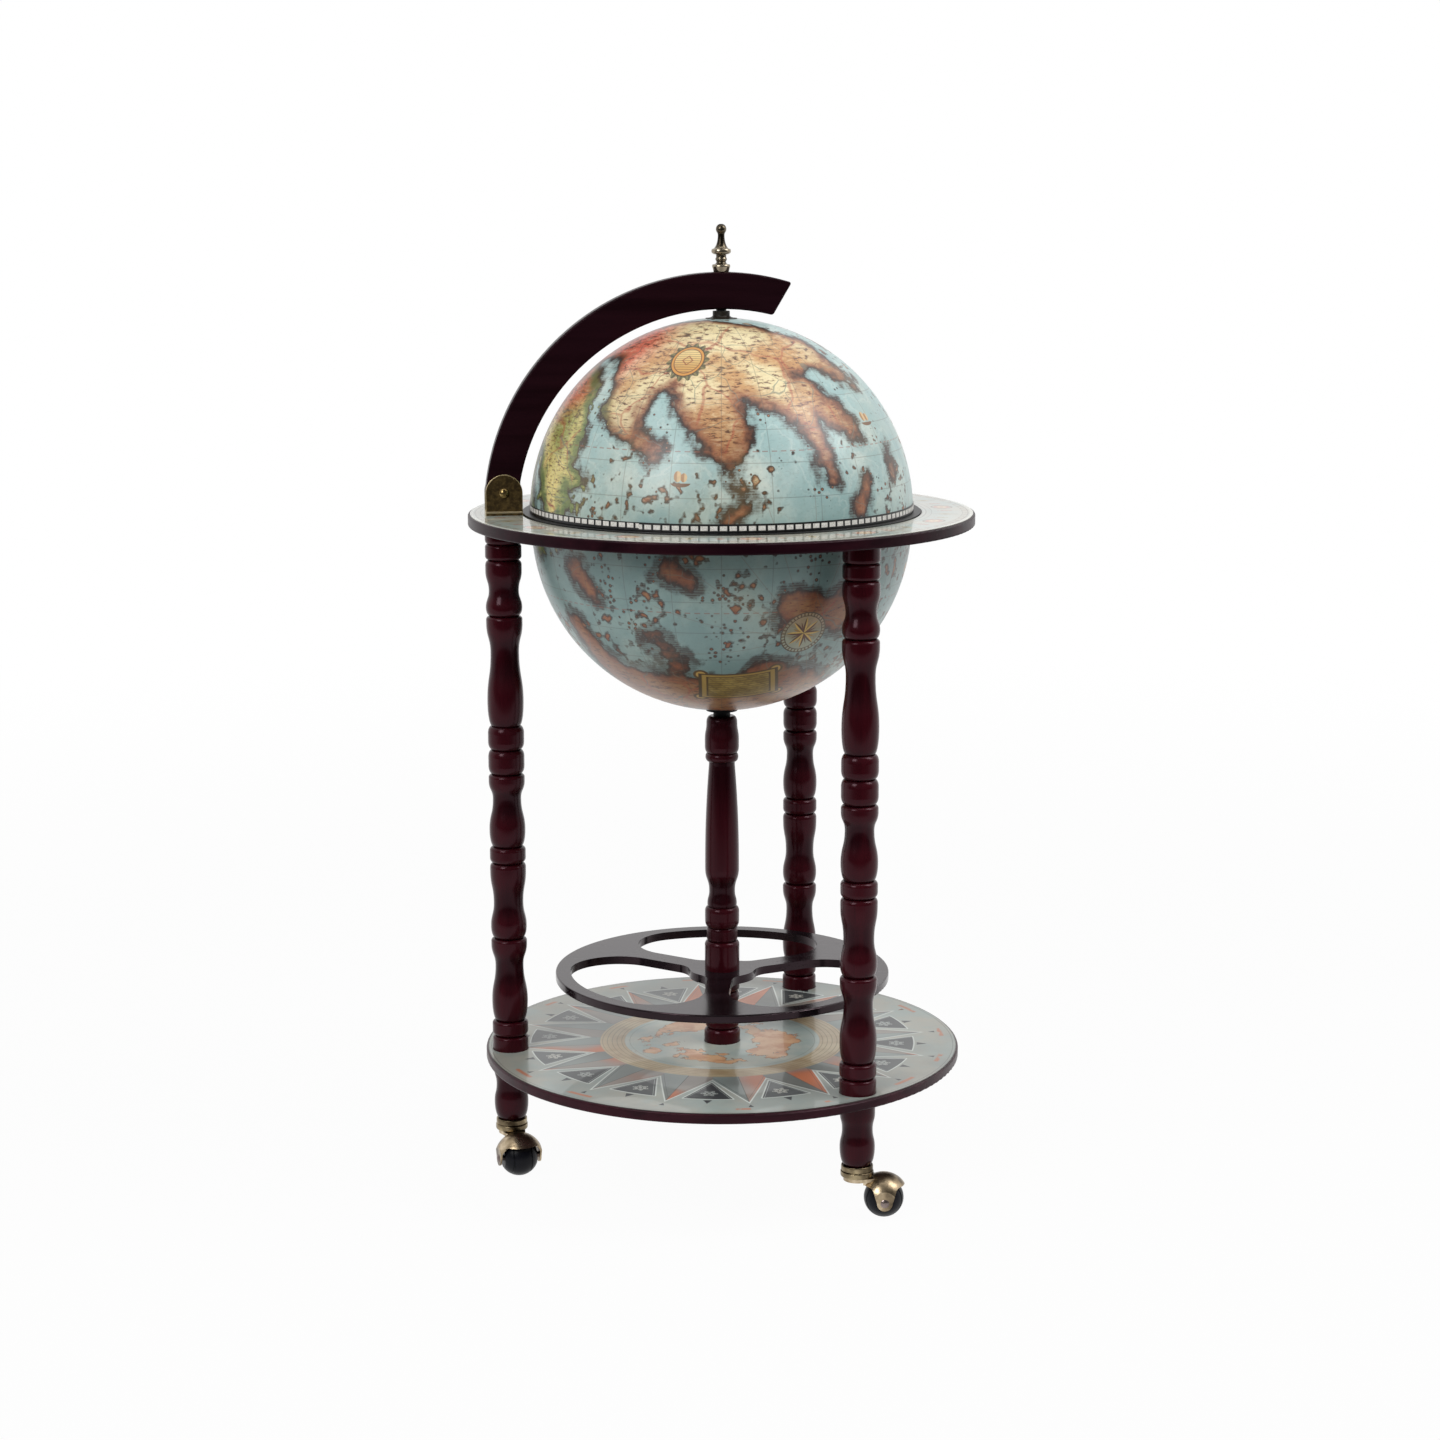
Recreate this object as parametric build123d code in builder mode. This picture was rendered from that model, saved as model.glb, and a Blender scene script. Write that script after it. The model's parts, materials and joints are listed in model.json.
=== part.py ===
"""Globe bar: a hinged globe in a horizon ring, on three turned legs with a shelf and ball casters.

Millimetres, +Z up.  The origin lies on the floor under the globe's own axis.  The lid's arm
stands over the -X side of the ring, so the lid opens towards -X about a pin along Y.
"""
from build123d import *
from math import cos, radians, sin, sqrt
import os

os.makedirs("parts", exist_ok=True)

# ---------------------------------------------------------------- heights over the floor
ring_top_z = 602.0
plate_top_z = 181.0
shelf_top_z = 113.0

# ---------------------------------------------------------------- clearances
play = 0.3             # between pieces that pass or rest near each other
running = 0.05         # radial, a shaft that turns in its bore
print_thickness = 0.5  # laminated map sheets on the ring and the shelf
overshoot = 1.0        # how far a cut runs past the face it opens
same = 1e-6            # lengths closer than this are equal

# ---------------------------------------------------------------- lower globe half
bowl_r = 169.0
bowl_wall = 2.5
bowl_centre_drop = 9.0         # centre of the bowl's sphere under the ring's top
rim_overlap = 8.0              # how far the rim trim reaches over the ring
rim_rise = 1.2                 # how far the rim trim stands over the ring's print
rim_edge_fillet = 0.6

# ---------------------------------------------------------------- horizon ring
ring_width = 56.0              # from the bowl's outside to the ring's edge
ring_thickness = 10.5
ring_edge_fillet = 1.6
ring_print_margin = 2.0        # bare wood outside the print
ring_print_gap = 1.0           # between the rim trim and the print

# ---------------------------------------------------------------- upper globe half
dome_proud = 1.0               # how much larger in radius the dome is than the bowl
dome_wall = 2.5
dome_lift = 0.4                # gap between the closed dome and the rim trim
band_thickness = 0.5
band_height = 7.0

# ---------------------------------------------------------------- drinks rack in the bowl
rack_top_drop = 42.0           # top face of the upper board under the ring's top
rack_base_rise = 29.5          # top face of the lower board over the bowl's floor
rack_thickness = 6.0
bottle_count = 3
bottle_share = 0.2426          # of the bowl's radius, a bottle hole's radius
bottle_web = 4.6               # between two bottle holes
glass_count = 6
glass_share = 0.1716           # of the bowl's radius, a glass hole's radius
glass_margin = 14.5            # from a glass hole to the upper board's edge
glass_first_angle = 30.0
post_count = 3
post_r = 5.0
post_first_angle = 60.0

# ---------------------------------------------------------------- meridian arm
arm_gap = 11.8                 # inner arc's radius over the dome's
arm_depth = 28.7               # outer arc's radius over the inner arc's
arm_outer_drop = 0.5           # centre of the outer arc under the ring's top
arm_inner_drop = 3.8           # centre of the inner arc under the ring's top
arm_thickness = 17.0
arm_edge_fillet = 1.5
arm_tip_outer_angle = 17.0     # past the axis, away from the hinge
arm_tip_inner_angle = 14.3
arm_tip_fillet = 3.0
arm_tip_outer_fillet = 1.8
finial_seat_depth = 0.4

# ---------------------------------------------------------------- lid hinge
pin_offset = 23.4              # from the dome's edge out to the hinge pin
arm_foot_r = 15.8
arm_foot_blend = 12.0          # where the foot's round meets the inner arc
arm_back_blend = 25.0          # where the foot's straight back meets the outer arc
bracket_base = 3.5
bracket_base_proud = 1.4
cheek_thickness = 2.2
cheek_half_width = 16.25
cheek_edge_fillet = 0.5
hinge_pin_r = 3.0
hinge_head_r = 4.8
hinge_head_height = 2.8
bracket_screw_r = 1.8
bracket_screw_head_r = 3.3
bracket_screw_length = 9.0
bracket_screw_offset = 9.6

# ---------------------------------------------------------------- lid pivot over the dome
pivot_r = 2.5
boss_flange_r = 14.0
boss_flange_height = 1.5
boss_skirt_height = 2.4        # the hollow slope from the flange up to the neck
boss_neck_r = 7.55
thrust_washer_r = 4.55
thrust_washer_thickness = 1.5
inner_boss_depth = 4.0
hanger_washer_r = 9.0
hanger_washer_thickness = 1.2
hanger_nut_across = 9.0
hanger_nut_height = 6.0
pivot_bolt_stick_out = 1.5     # past the hanger nut
pivot_bore_depth = 12.5        # up into the finial
nut_chamfer = 1.0
nut_corner_share = 1.1         # a nut's rounded corners over its half width across flats

# ---------------------------------------------------------------- bowl seat and tie rod
bowl_boss_r = 14.0
bowl_boss_depth = 2.5
seat_bush_r = 7.65
seat_bush_height = 4.8
tie_rod_r = 4.0
tie_hole_r = 4.25
tie_nut_across = 13.0
tie_nut_height = 6.5
tie_washer_r = 12.0
tie_washer_thickness = 1.6
tie_rod_stick_out = 3.0

# ---------------------------------------------------------------- legs, feet and their fixings
leg_offset = 25.4              # from the bowl's outside to a leg's axis
leg_angles = {"left": 180.0, "front": 300.0, "back": 60.0}
leg_bead_r = 16.15
leg_groove_r = 12.4
leg_waist_r = 12.65
leg_neck_r = 13.3
foot_r = 15.4
foot_waist_r = 13.4
foot_end_r = 11.0
spigot_r = 10.0
spigot_height = 2.6
stud_r = 4.0
stud_reach = 20.0              # into the leg, and into the foot
leg_screw_r = 2.5
leg_screw_head_r = 4.8
leg_screw_length = 45.0

# ---------------------------------------------------------------- shelf
shelf_margin = 21.8            # from a leg's axis out to the shelf's edge
shelf_thickness = 9.4
shelf_edge_fillet = 1.6
shelf_print_margin = 1.6

# ---------------------------------------------------------------- centre column
column_r = 15.8
column_top_r = 10.5
column_shoulder_r = 13.9       # the step on the way up to the top bead
column_bead_r = 15.4
column_groove_r = 12.8
column_collar_r = 14.9         # the short collar under the top bead
column_foot_bead_r = 15.6      # the bead over the wide band
column_ring_r = 14.1           # the wide band over the base
column_swell_r = 13.4          # the soft bead under the lower waist
column_waist_r = 11.7
spool_base_r = 16.4

# ---------------------------------------------------------------- bottle plate
plate_r = 152.2
plate_thickness = 7.5
plate_rim = 13.5
plate_hub_r = 30.0
plate_arm_width = 22.0
plate_arm_count = 3
plate_first_arm = 19.3
plate_hub_corner_r = 20.0
plate_rim_corner_r = 43.0
plate_edge_fillet = 1.2

# ---------------------------------------------------------------- ball casters
caster_headings = {"left": 282.0, "front": -7.2, "back": 100.0}
ball_r = 17.4
ball_flat_r = 8.8              # radius of the flat on each side of the ball
tread_groove_r = 0.8
tread_groove_share = 0.55      # how far out each groove lies, as a share of the half width
caster_trail = 23.5            # from the swivel's axis to the ball's centre
swivel_rise = 19.4             # the ferrule's underside over the ball's axle
ferrule_cap_r = 14.0
ferrule_top_r = 13.2
ferrule_groove_r = 13.2
ferrule_flange_r = 14.5
ferrule_end_r = 12.9
ferrule_height = 10.8
ferrule_stem_r = 4.0
ferrule_stem_height = 22.0
swivel_pin_r = 2.5
swivel_head_r = 4.0
swivel_head_height = 1.6
collar_r = 12.0
collar_height = 3.0
neck_r = 9.0                   # end of the neck that joins the collar to the hood
neck_reach = 12.0              # from the swivel's axis to that end's centre
gusset_half_width = 7.0        # web under the neck, down the hood's back
hood_wall = 1.5
hood_gap = 3.1                 # between the ball and the hood's inside
ear_gap = 2.8                  # between the ball's flat side and an ear
hood_lip_rise = 12.5           # lower edge of the hood over the axle
ear_r = 6.8
ear_root_half_width = 11.0
ear_corner_r = 4.0
axle_r = 2.5
axle_head_r = 3.8
axle_head_height = 1.4

# ---------------------------------------------------------------- worked out from the above
ring_r = bowl_r + ring_width
ring_wood_top_z = ring_top_z - print_thickness
ring_under_z = ring_top_z - ring_thickness
rim_outer_r = bowl_r + rim_overlap
ring_print_inner_r = rim_outer_r + ring_print_gap
bowl_centre_z = ring_top_z - bowl_centre_drop
bowl_inner_r = bowl_r - bowl_wall
bowl_bottom_z = bowl_centre_z - bowl_r
bowl_floor_z = bowl_centre_z - bowl_inner_r
rim_top_z = ring_top_z + rim_rise
dome_r = bowl_r + dome_proud
dome_base_z = rim_top_z + dome_lift
dome_inner_r = dome_r - dome_wall
dome_top_z = ring_top_z + dome_r
leg_circle_r = bowl_r + leg_offset
shelf_r = leg_circle_r + shelf_margin
shelf_wood_top_z = shelf_top_z - print_thickness
shelf_under_z = shelf_top_z - shelf_thickness
plate_under_z = plate_top_z - plate_thickness
boss_bottom_z = bowl_bottom_z - bowl_boss_depth
column_top_z = boss_bottom_z - seat_bush_height
pin_circle_r = dome_r + pin_offset
hinge_z = ring_top_z + bracket_base + play + arm_foot_r
arm_inner_r = dome_r + arm_gap
arm_outer_r = arm_inner_r + arm_depth
arm_under_z = ring_top_z - arm_inner_drop + arm_inner_r
finial_seat_z = ring_top_z - arm_outer_drop + arm_outer_r - finial_seat_depth
ferrule_under_z = ball_r + swivel_rise
foot_shoulder_z = ferrule_under_z + ferrule_height
ball_half_width = sqrt(ball_r ** 2 - ball_flat_r ** 2)
hood_r = ball_r + hood_gap + hood_wall
hood_half_width = ball_half_width + ear_gap + hood_wall


def at_angle(radius, angle):
    """Point on a circle about the globe's axis."""
    return radius * cos(radians(angle)), radius * sin(radians(angle))


def level(z, x=0.0, y=0.0):
    """Flat plane at a height, with its origin over (x, y)."""
    return Plane((x, y, z))


def upright(x=0.0, y=0.0):
    """Plane facing -Y through (x, y), whose own y is the height over the floor."""
    return Plane((x, y, 0), x_dir=(1, 0, 0), z_dir=(0, -1, 0))


def finish(part, name):
    """Label a finished piece and write its STEP file."""
    part.label = name
    export_step(part, f"parts/{name}.step")


def turned_outline(stations):
    """Half outline of a turning, from (height, radius, tangent) stations, top to bottom.

    "crest" leaves vertically, as at a bead's widest or a waist's narrowest point, "cusp" leaves
    level, as in a groove between two beads, "corner" is sharp, and "slope" leaves slanting, on a
    parabola that eases into the next crest.
    """
    round_share = 0.5523       # handle length that makes a quarter ellipse
    swell_share = 0.5          # handle length of an S-curve between two crests
    for (z0, r0, kind0), (z1, r1, kind1) in zip(stations, stations[1:]):
        if kind0 == kind1 == "crest" and r0 != r1:
            Bezier((r0, z0), (r0, z0 + (z1 - z0) * swell_share),
                   (r1, z1 + (z0 - z1) * swell_share), (r1, z1))
        elif {kind0, kind1} == {"crest", "cusp"}:
            handles = []
            for (z, r, kind), (z_far, r_far) in (((z0, r0, kind0), (z1, r1)), ((z1, r1, kind1), (z0, r0))):
                if kind == "crest":
                    handles.append((r, z + (z_far - z) * round_share))
                else:
                    handles.append((r + (r_far - r) * round_share, z))
            Bezier((r0, z0), handles[0], handles[1], (r1, z1))
        elif kind0 == "slope":
            Bezier((r0, z0), (r1, (z0 + z1) / 2), (r1, z1))
        else:
            Line((r0, z0), (r1, z1))


def turning(stations, bottom_hole=(0.0, 0.0), top_hole=(0.0, 0.0), bore_r=0.0, at=(0.0, 0.0)):
    """Solid of revolution through stations, with blind end holes or a bore along its axis."""
    z_top, r_top, _ = stations[0]
    z_bottom, r_bottom, _ = stations[-1]
    with BuildPart() as piece:
        with BuildSketch(upright(*at)) as half:
            with BuildLine():
                turned_outline(stations)
                Polyline((r_bottom, z_bottom), (0, z_bottom), (0, z_top), (r_top, z_top))
            make_face()
        revolve(axis=Axis((at[0], at[1], 0), (0, 0, 1)))
        for z, (radius, depth), way in ((z_bottom, bottom_hole, 1), (z_top, top_hole, -1)):
            if depth:
                with BuildSketch(level(z, *at)):
                    Circle(radius)
                extrude(amount=way * depth, mode=Mode.SUBTRACT)
        if bore_r:
            with BuildSketch(level(z_bottom, *at)):
                Circle(bore_r)
            extrude(amount=z_top - z_bottom, mode=Mode.SUBTRACT)
    return piece.part


def stretched(pattern, z_top, z_bottom):
    """Place a pattern of (drop, radius, tangent) between two heights."""
    share = (z_top - z_bottom) / pattern[-1][0]
    return [(z_top - drop * share, radius, kind) for drop, radius, kind in pattern]


def disc(z_bottom, z_top, radius, bore_r=0.0, at=(0.0, 0.0)):
    """Flat round piece between two heights, with a centre hole."""
    with BuildPart() as piece:
        with BuildSketch(level(z_bottom, *at)):
            Circle(radius)
            if bore_r:
                Circle(bore_r, mode=Mode.SUBTRACT)
        extrude(amount=z_top - z_bottom)
    return piece.part


def hex_nut(z_bottom, z_top, across, bore_r, at=(0.0, 0.0)):
    """Hexagonal nut with chamfered corners."""
    with BuildPart() as piece:
        with BuildSketch(level(z_bottom, *at)):
            RegularPolygon(across / 2, 6, major_radius=False)
            Circle(bore_r, mode=Mode.SUBTRACT)
        extrude(amount=z_top - z_bottom)
        crown = across / 2 * nut_corner_share
        with BuildSketch(upright(*at)):
            with BuildLine():
                Polyline((0, z_bottom), (across / 2, z_bottom), (crown, z_bottom + nut_chamfer),
                         (crown, z_top - nut_chamfer), (across / 2, z_top), (0, z_top), close=True)
            make_face()
        revolve(axis=Axis((at[0], at[1], 0), (0, 0, 1)), mode=Mode.INTERSECT)
    return piece.part


# ================================================================ horizon ring and its print
bowl_fit_r = bowl_r + play
leg_places = {side: at_angle(leg_circle_r, angle) for side, angle in leg_angles.items()}
bracket_screw_places = [(-pin_circle_r - bracket_screw_offset, 0), (-pin_circle_r + bracket_screw_offset, 0)]
bracket_screw_depth = bracket_screw_length - bracket_base - print_thickness

with BuildPart() as horizon_ring:
    with BuildSketch(level(ring_under_z)):
        Circle(ring_r)
        Circle(bowl_fit_r, mode=Mode.SUBTRACT)
    extrude(amount=ring_wood_top_z - ring_under_z)
    rim_edges = horizon_ring.edges().filter_by(GeomType.CIRCLE).filter_by(lambda e: e.radius == ring_r)
    fillet(rim_edges, ring_edge_fillet)
    with Locations(*[(x, y, ring_wood_top_z) for x, y in leg_places.values()]):
        CounterSinkHole(leg_screw_r, leg_screw_head_r, counter_sink_angle=90)
    with BuildSketch(level(ring_wood_top_z)):
        with Locations(*bracket_screw_places):
            Circle(bracket_screw_r)
    extrude(amount=-bracket_screw_depth, mode=Mode.SUBTRACT)
finish(horizon_ring.part, "horizon_ring")

with BuildPart() as ring_print:
    with BuildSketch(level(ring_wood_top_z)):
        Circle(ring_r - ring_print_margin)
        Circle(ring_print_inner_r, mode=Mode.SUBTRACT)
        with Locations(*bracket_screw_places):
            Circle(bracket_screw_r, mode=Mode.SUBTRACT)
    extrude(amount=print_thickness)
finish(ring_print.part, "ring_print")

# ================================================================ lower globe half
with BuildPart() as bowl_shell:
    with BuildSketch(upright()):
        with BuildLine():
            Line((0, bowl_bottom_z), (0, bowl_floor_z))
            RadiusArc((0, bowl_floor_z), (bowl_inner_r, bowl_centre_z), -bowl_inner_r)
            Polyline((bowl_inner_r, bowl_centre_z), (bowl_inner_r, ring_wood_top_z),
                     (bowl_r, ring_wood_top_z), (bowl_r, bowl_centre_z))
            RadiusArc((bowl_r, bowl_centre_z), (0, bowl_bottom_z), bowl_r)
        make_face()
    revolve(axis=Axis.Z)
    with BuildSketch(level(bowl_bottom_z - overshoot)):
        Circle(tie_hole_r)
    extrude(amount=bowl_wall + 2 * overshoot, mode=Mode.SUBTRACT)
finish(bowl_shell.part, "bowl_shell")

with BuildPart() as bowl_rim:
    with BuildSketch(level(ring_wood_top_z)):
        Circle(rim_outer_r)
        Circle(bowl_inner_r, mode=Mode.SUBTRACT)
    extrude(amount=rim_top_z - ring_wood_top_z)
    fillet(bowl_rim.edges().group_by(Axis.Z)[-1].sort_by(SortBy.RADIUS)[-1], rim_edge_fillet)
finish(bowl_rim.part, "bowl_rim")

with BuildPart() as bowl_boss:
    with BuildSketch(level(boss_bottom_z)):
        Circle(bowl_boss_r)
        Circle(tie_hole_r, mode=Mode.SUBTRACT)
    extrude(amount=2 * bowl_boss_depth)
    with Locations((0, 0, bowl_centre_z)):
        Sphere(bowl_r, mode=Mode.SUBTRACT)
finish(bowl_boss.part, "bowl_boss")

finish(disc(column_top_z, boss_bottom_z, seat_bush_r, tie_hole_r), "seat_bush")


# ================================================================ drinks rack
def rack_board(z_top):
    """Round board whose edge follows the bowl's inside, a little clear of it."""
    with BuildPart() as board:
        with Locations((0, 0, bowl_centre_z)):
            Sphere(bowl_inner_r - play)
        with BuildSketch(level(z_top - rack_thickness)):
            Circle(bowl_r)
        extrude(amount=rack_thickness, mode=Mode.INTERSECT)
    return board.part


def bowl_chord_r(z):
    """Radius of a rack board's edge at a height."""
    return sqrt((bowl_inner_r - play) ** 2 - (bowl_centre_z - z) ** 2)


rack_top_z = ring_top_z - rack_top_drop
rack_base_z = bowl_floor_z + rack_base_rise
bottle_hole_r = round(bowl_r * bottle_share, 1)  # hole saws come in tenths of a millimetre
glass_hole_r = round(bowl_r * glass_share, 1)
bottle_circle_r = (bottle_hole_r + bottle_web / 2) / sin(radians(180 / bottle_count))
glass_circle_r = bowl_chord_r(rack_top_z - rack_thickness) - glass_margin - glass_hole_r
post_circle_r = bowl_chord_r(rack_base_z - rack_thickness) - post_r

with BuildPart() as rack_top:
    add(rack_board(rack_top_z))
    with BuildSketch(level(rack_top_z)):
        with PolarLocations(bottle_circle_r, bottle_count):
            Circle(bottle_hole_r)
        with PolarLocations(glass_circle_r, glass_count, start_angle=glass_first_angle):
            Circle(glass_hole_r)
    extrude(amount=-rack_thickness, mode=Mode.SUBTRACT)
finish(rack_top.part, "rack_top")

finish(rack_board(rack_base_z), "rack_base")

with BuildPart() as rack_posts:
    with BuildSketch(level(rack_base_z)):
        with PolarLocations(post_circle_r, post_count, start_angle=post_first_angle):
            Circle(post_r)
    extrude(amount=rack_top_z - rack_thickness - rack_base_z)
finish(rack_posts.part, "rack_posts")

# ================================================================ upper globe half
dome_base_r = sqrt(dome_r ** 2 - (dome_base_z - ring_top_z) ** 2)
dome_base_inner_r = sqrt(dome_inner_r ** 2 - (dome_base_z - ring_top_z) ** 2)
pivot_hole_r = pivot_r + running

with BuildPart() as dome_shell:
    with BuildSketch(upright()):
        with BuildLine():
            Line((0, dome_top_z), (0, ring_top_z + dome_inner_r))
            RadiusArc((0, ring_top_z + dome_inner_r), (dome_base_inner_r, dome_base_z), dome_inner_r)
            Line((dome_base_inner_r, dome_base_z), (dome_base_r, dome_base_z))
            RadiusArc((dome_base_r, dome_base_z), (0, dome_top_z), -dome_r)
        make_face()
    revolve(axis=Axis.Z)
    with BuildSketch(level(dome_top_z + overshoot)):
        Circle(pivot_r + play)
    extrude(amount=-(dome_wall + 2 * overshoot), mode=Mode.SUBTRACT)
finish(dome_shell.part, "dome_shell")

with BuildPart() as dome_band:
    with Locations((0, 0, ring_top_z)):
        Sphere(dome_r + band_thickness)
        Sphere(dome_r, mode=Mode.SUBTRACT)
    with BuildSketch(level(dome_base_z)):
        Circle(2 * dome_r)
    extrude(amount=band_height, mode=Mode.INTERSECT)
finish(dome_band.part, "dome_band")

boss_top_z = arm_under_z - thrust_washer_thickness - play

with BuildPart() as dome_boss:
    add(turning([(boss_top_z, boss_neck_r, "corner"),
                 (dome_top_z + boss_skirt_height, boss_neck_r, "crest"),
                 (dome_top_z, boss_flange_r, "cusp"),
                 (dome_top_z - boss_flange_height, boss_flange_r, "corner")], bore_r=pivot_hole_r))
    with Locations((0, 0, ring_top_z)):
        Sphere(dome_r, mode=Mode.SUBTRACT)
finish(dome_boss.part, "dome_boss")

inner_boss_z = ring_top_z + dome_inner_r - inner_boss_depth

with BuildPart() as dome_inner_boss:
    with BuildSketch(level(inner_boss_z)):
        Circle(boss_flange_r)
    extrude(amount=2 * inner_boss_depth)
    with Locations((0, 0, ring_top_z)):
        Sphere(dome_inner_r, mode=Mode.INTERSECT)
    with BuildSketch(level(inner_boss_z)):
        Circle(pivot_hole_r)
    extrude(amount=2 * inner_boss_depth, mode=Mode.SUBTRACT)
finish(dome_inner_boss.part, "dome_inner_boss")

# ================================================================ meridian arm
hinge_x = -pin_circle_r
outer_centre = (0, ring_top_z - arm_outer_drop)
inner_centre = (0, ring_top_z - arm_inner_drop)


def on_arc(centre, radius, angle_past_axis):
    """Point on one of the arm's arcs, measured from straight up towards +X."""
    return (centre[0] + radius * sin(radians(angle_past_axis)),
            centre[1] + radius * cos(radians(angle_past_axis)))


tip_outer = Vector(*on_arc(outer_centre, arm_outer_r, arm_tip_outer_angle))
tip_inner = Vector(*on_arc(inner_centre, arm_inner_r, arm_tip_inner_angle))
tip_run = (tip_inner - tip_outer) * 2

with BuildPart() as meridian_arm:
    with BuildSketch(upright()) as arm_side:
        with Locations(outer_centre):
            Circle(arm_outer_r)
        with Locations(inner_centre):
            Circle(arm_inner_r, mode=Mode.SUBTRACT)
        with BuildLine():
            Polyline((hinge_x - arm_foot_r, hinge_z), (hinge_x - arm_foot_r, ring_top_z + 2 * arm_outer_r),
                     tuple(tip_outer - tip_run)[:2], tuple(tip_inner + tip_run)[:2],
                     (0, hinge_z), close=True)
        make_face(mode=Mode.INTERSECT)
        with Locations((hinge_x, hinge_z)):
            Circle(arm_foot_r)
        fillet(arm_side.vertices().sort_by(Axis.X)[-2:].sort_by(Axis.Y)[0], arm_tip_fillet)
        fillet(arm_side.vertices().sort_by(Axis.X)[-1], arm_tip_outer_fillet)
        foot_inner = arm_side.vertices().filter_by(lambda v: hinge_x < v.X < 0)
        fillet(foot_inner, arm_foot_blend)
        foot_back = arm_side.vertices().filter_by(lambda v: v.X < hinge_x).sort_by(Axis.Y)[-1]
        fillet(foot_back, arm_back_blend)
    extrude(amount=arm_thickness / 2, both=True)
    side_edges = meridian_arm.edges().filter_by(lambda e: abs(abs(e.center().Y) - arm_thickness / 2) < same)
    fillet(side_edges, arm_edge_fillet)
    with BuildSketch(upright()):
        with Locations((hinge_x, hinge_z)):
            Circle(hinge_pin_r + running)
    extrude(amount=arm_thickness, both=True, mode=Mode.SUBTRACT)
    with BuildSketch(level(finial_seat_z)):
        Circle(arm_thickness / 2)
    extrude(amount=2 * finial_seat_depth, mode=Mode.SUBTRACT)
    with BuildSketch(level(arm_under_z)):
        Circle(thrust_washer_r + play)
    extrude(amount=-thrust_washer_thickness, mode=Mode.SUBTRACT)
    with BuildSketch(level(finial_seat_z)):
        Circle(pivot_r)
    extrude(amount=-2 * arm_depth, mode=Mode.SUBTRACT)
finish(meridian_arm.part, "meridian_arm")

# ================================================================ finial and pivot
finial_pattern = [
    (0.0, 0.6, "cusp"), (4.5, 4.6, "crest"), (9.8, 2.95, "crest"), (21.6, 7.9, "cusp"),
    (23.9, 8.6, "crest"), (26.4, 4.8, "cusp"), (28.2, 4.4, "crest"), (30.6, 5.1, "crest"),
    (32.8, 4.2, "crest"), (35.0, 7.2, "cusp"), (36.8, 8.0, "crest"), (42.0, 6.5, "corner"),
]
finial_height = finial_pattern[-1][0]
finish(turning(stretched(finial_pattern, finial_seat_z + finial_height, finial_seat_z),
               bottom_hole=(pivot_r, pivot_bore_depth)), "finial")

finish(disc(boss_top_z + play, arm_under_z, thrust_washer_r, pivot_r), "thrust_washer")

hanger_washer_z = inner_boss_z - play - hanger_washer_thickness
hanger_nut_z = hanger_washer_z - hanger_nut_height
finish(disc(hanger_washer_z, hanger_washer_z + hanger_washer_thickness, hanger_washer_r, pivot_r),
       "hanger_washer")
finish(hex_nut(hanger_nut_z, hanger_washer_z, hanger_nut_across, pivot_r), "hanger_nut")
finish(disc(hanger_nut_z - pivot_bolt_stick_out, finial_seat_z + pivot_bore_depth, pivot_r), "pivot_bolt")

# ================================================================ hinge bracket, pin and screws
cheek_inner = arm_thickness / 2 + play
cheek_outer = cheek_inner + cheek_thickness

with BuildPart() as hinge_bracket:
    with BuildSketch(level(ring_top_z)):
        with Locations((hinge_x, 0)):
            Rectangle(2 * cheek_half_width, 2 * (cheek_outer + bracket_base_proud))
    extrude(amount=bracket_base)
    fillet(hinge_bracket.faces().sort_by(Axis.Z)[-1].edges(), cheek_edge_fillet)
    with BuildSketch(upright()) as cheek_side:
        with Locations((hinge_x, hinge_z)):
            Circle(cheek_half_width)
        with BuildLine():
            Polyline((hinge_x - cheek_half_width, ring_top_z), (hinge_x + cheek_half_width, ring_top_z),
                     (hinge_x + cheek_half_width, hinge_z), (hinge_x - cheek_half_width, hinge_z),
                     close=True)
        make_face()
    extrude(amount=cheek_outer, both=True)
    outline = hinge_bracket.edges().filter_by(
        lambda e: abs(abs(e.center().Y) - cheek_outer) < same and e.center().Z > ring_top_z + bracket_base)
    fillet(outline, cheek_edge_fillet)
    with BuildSketch(level(ring_top_z + bracket_base)):
        with Locations((hinge_x, 0)):
            Rectangle(4 * cheek_half_width, 2 * cheek_inner)
    extrude(amount=4 * cheek_half_width, mode=Mode.SUBTRACT)
    with BuildSketch(upright()):
        with Locations((hinge_x, hinge_z)):
            Circle(hinge_pin_r)
    extrude(amount=2 * cheek_outer, both=True, mode=Mode.SUBTRACT)
    with Locations(*[(x, y, ring_top_z + bracket_base) for x, y in bracket_screw_places]):
        CounterSinkHole(bracket_screw_r, bracket_screw_head_r, counter_sink_angle=90)
finish(hinge_bracket.part, "hinge_bracket")


def domed_pin(plane, radius, half_length, head_r, head_height):
    """Rivet along a plane's normal, centred on its origin, with a domed head at each end."""
    tip = half_length + head_height
    with BuildPart() as pin:
        with BuildSketch(Plane(plane.origin, x_dir=plane.z_dir, z_dir=plane.x_dir)):
            with BuildLine():
                TangentArc((tip, 0), (half_length, head_r), tangent=(0, 1))
                Polyline((half_length, head_r), (half_length, radius), (-half_length, radius),
                         (-half_length, head_r))
                TangentArc((-tip, 0), (-half_length, head_r), tangent=(0, 1))
                Line((-tip, 0), (tip, 0))
            make_face()
        revolve(axis=Axis(plane.origin, plane.z_dir))
    return pin.part


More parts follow.
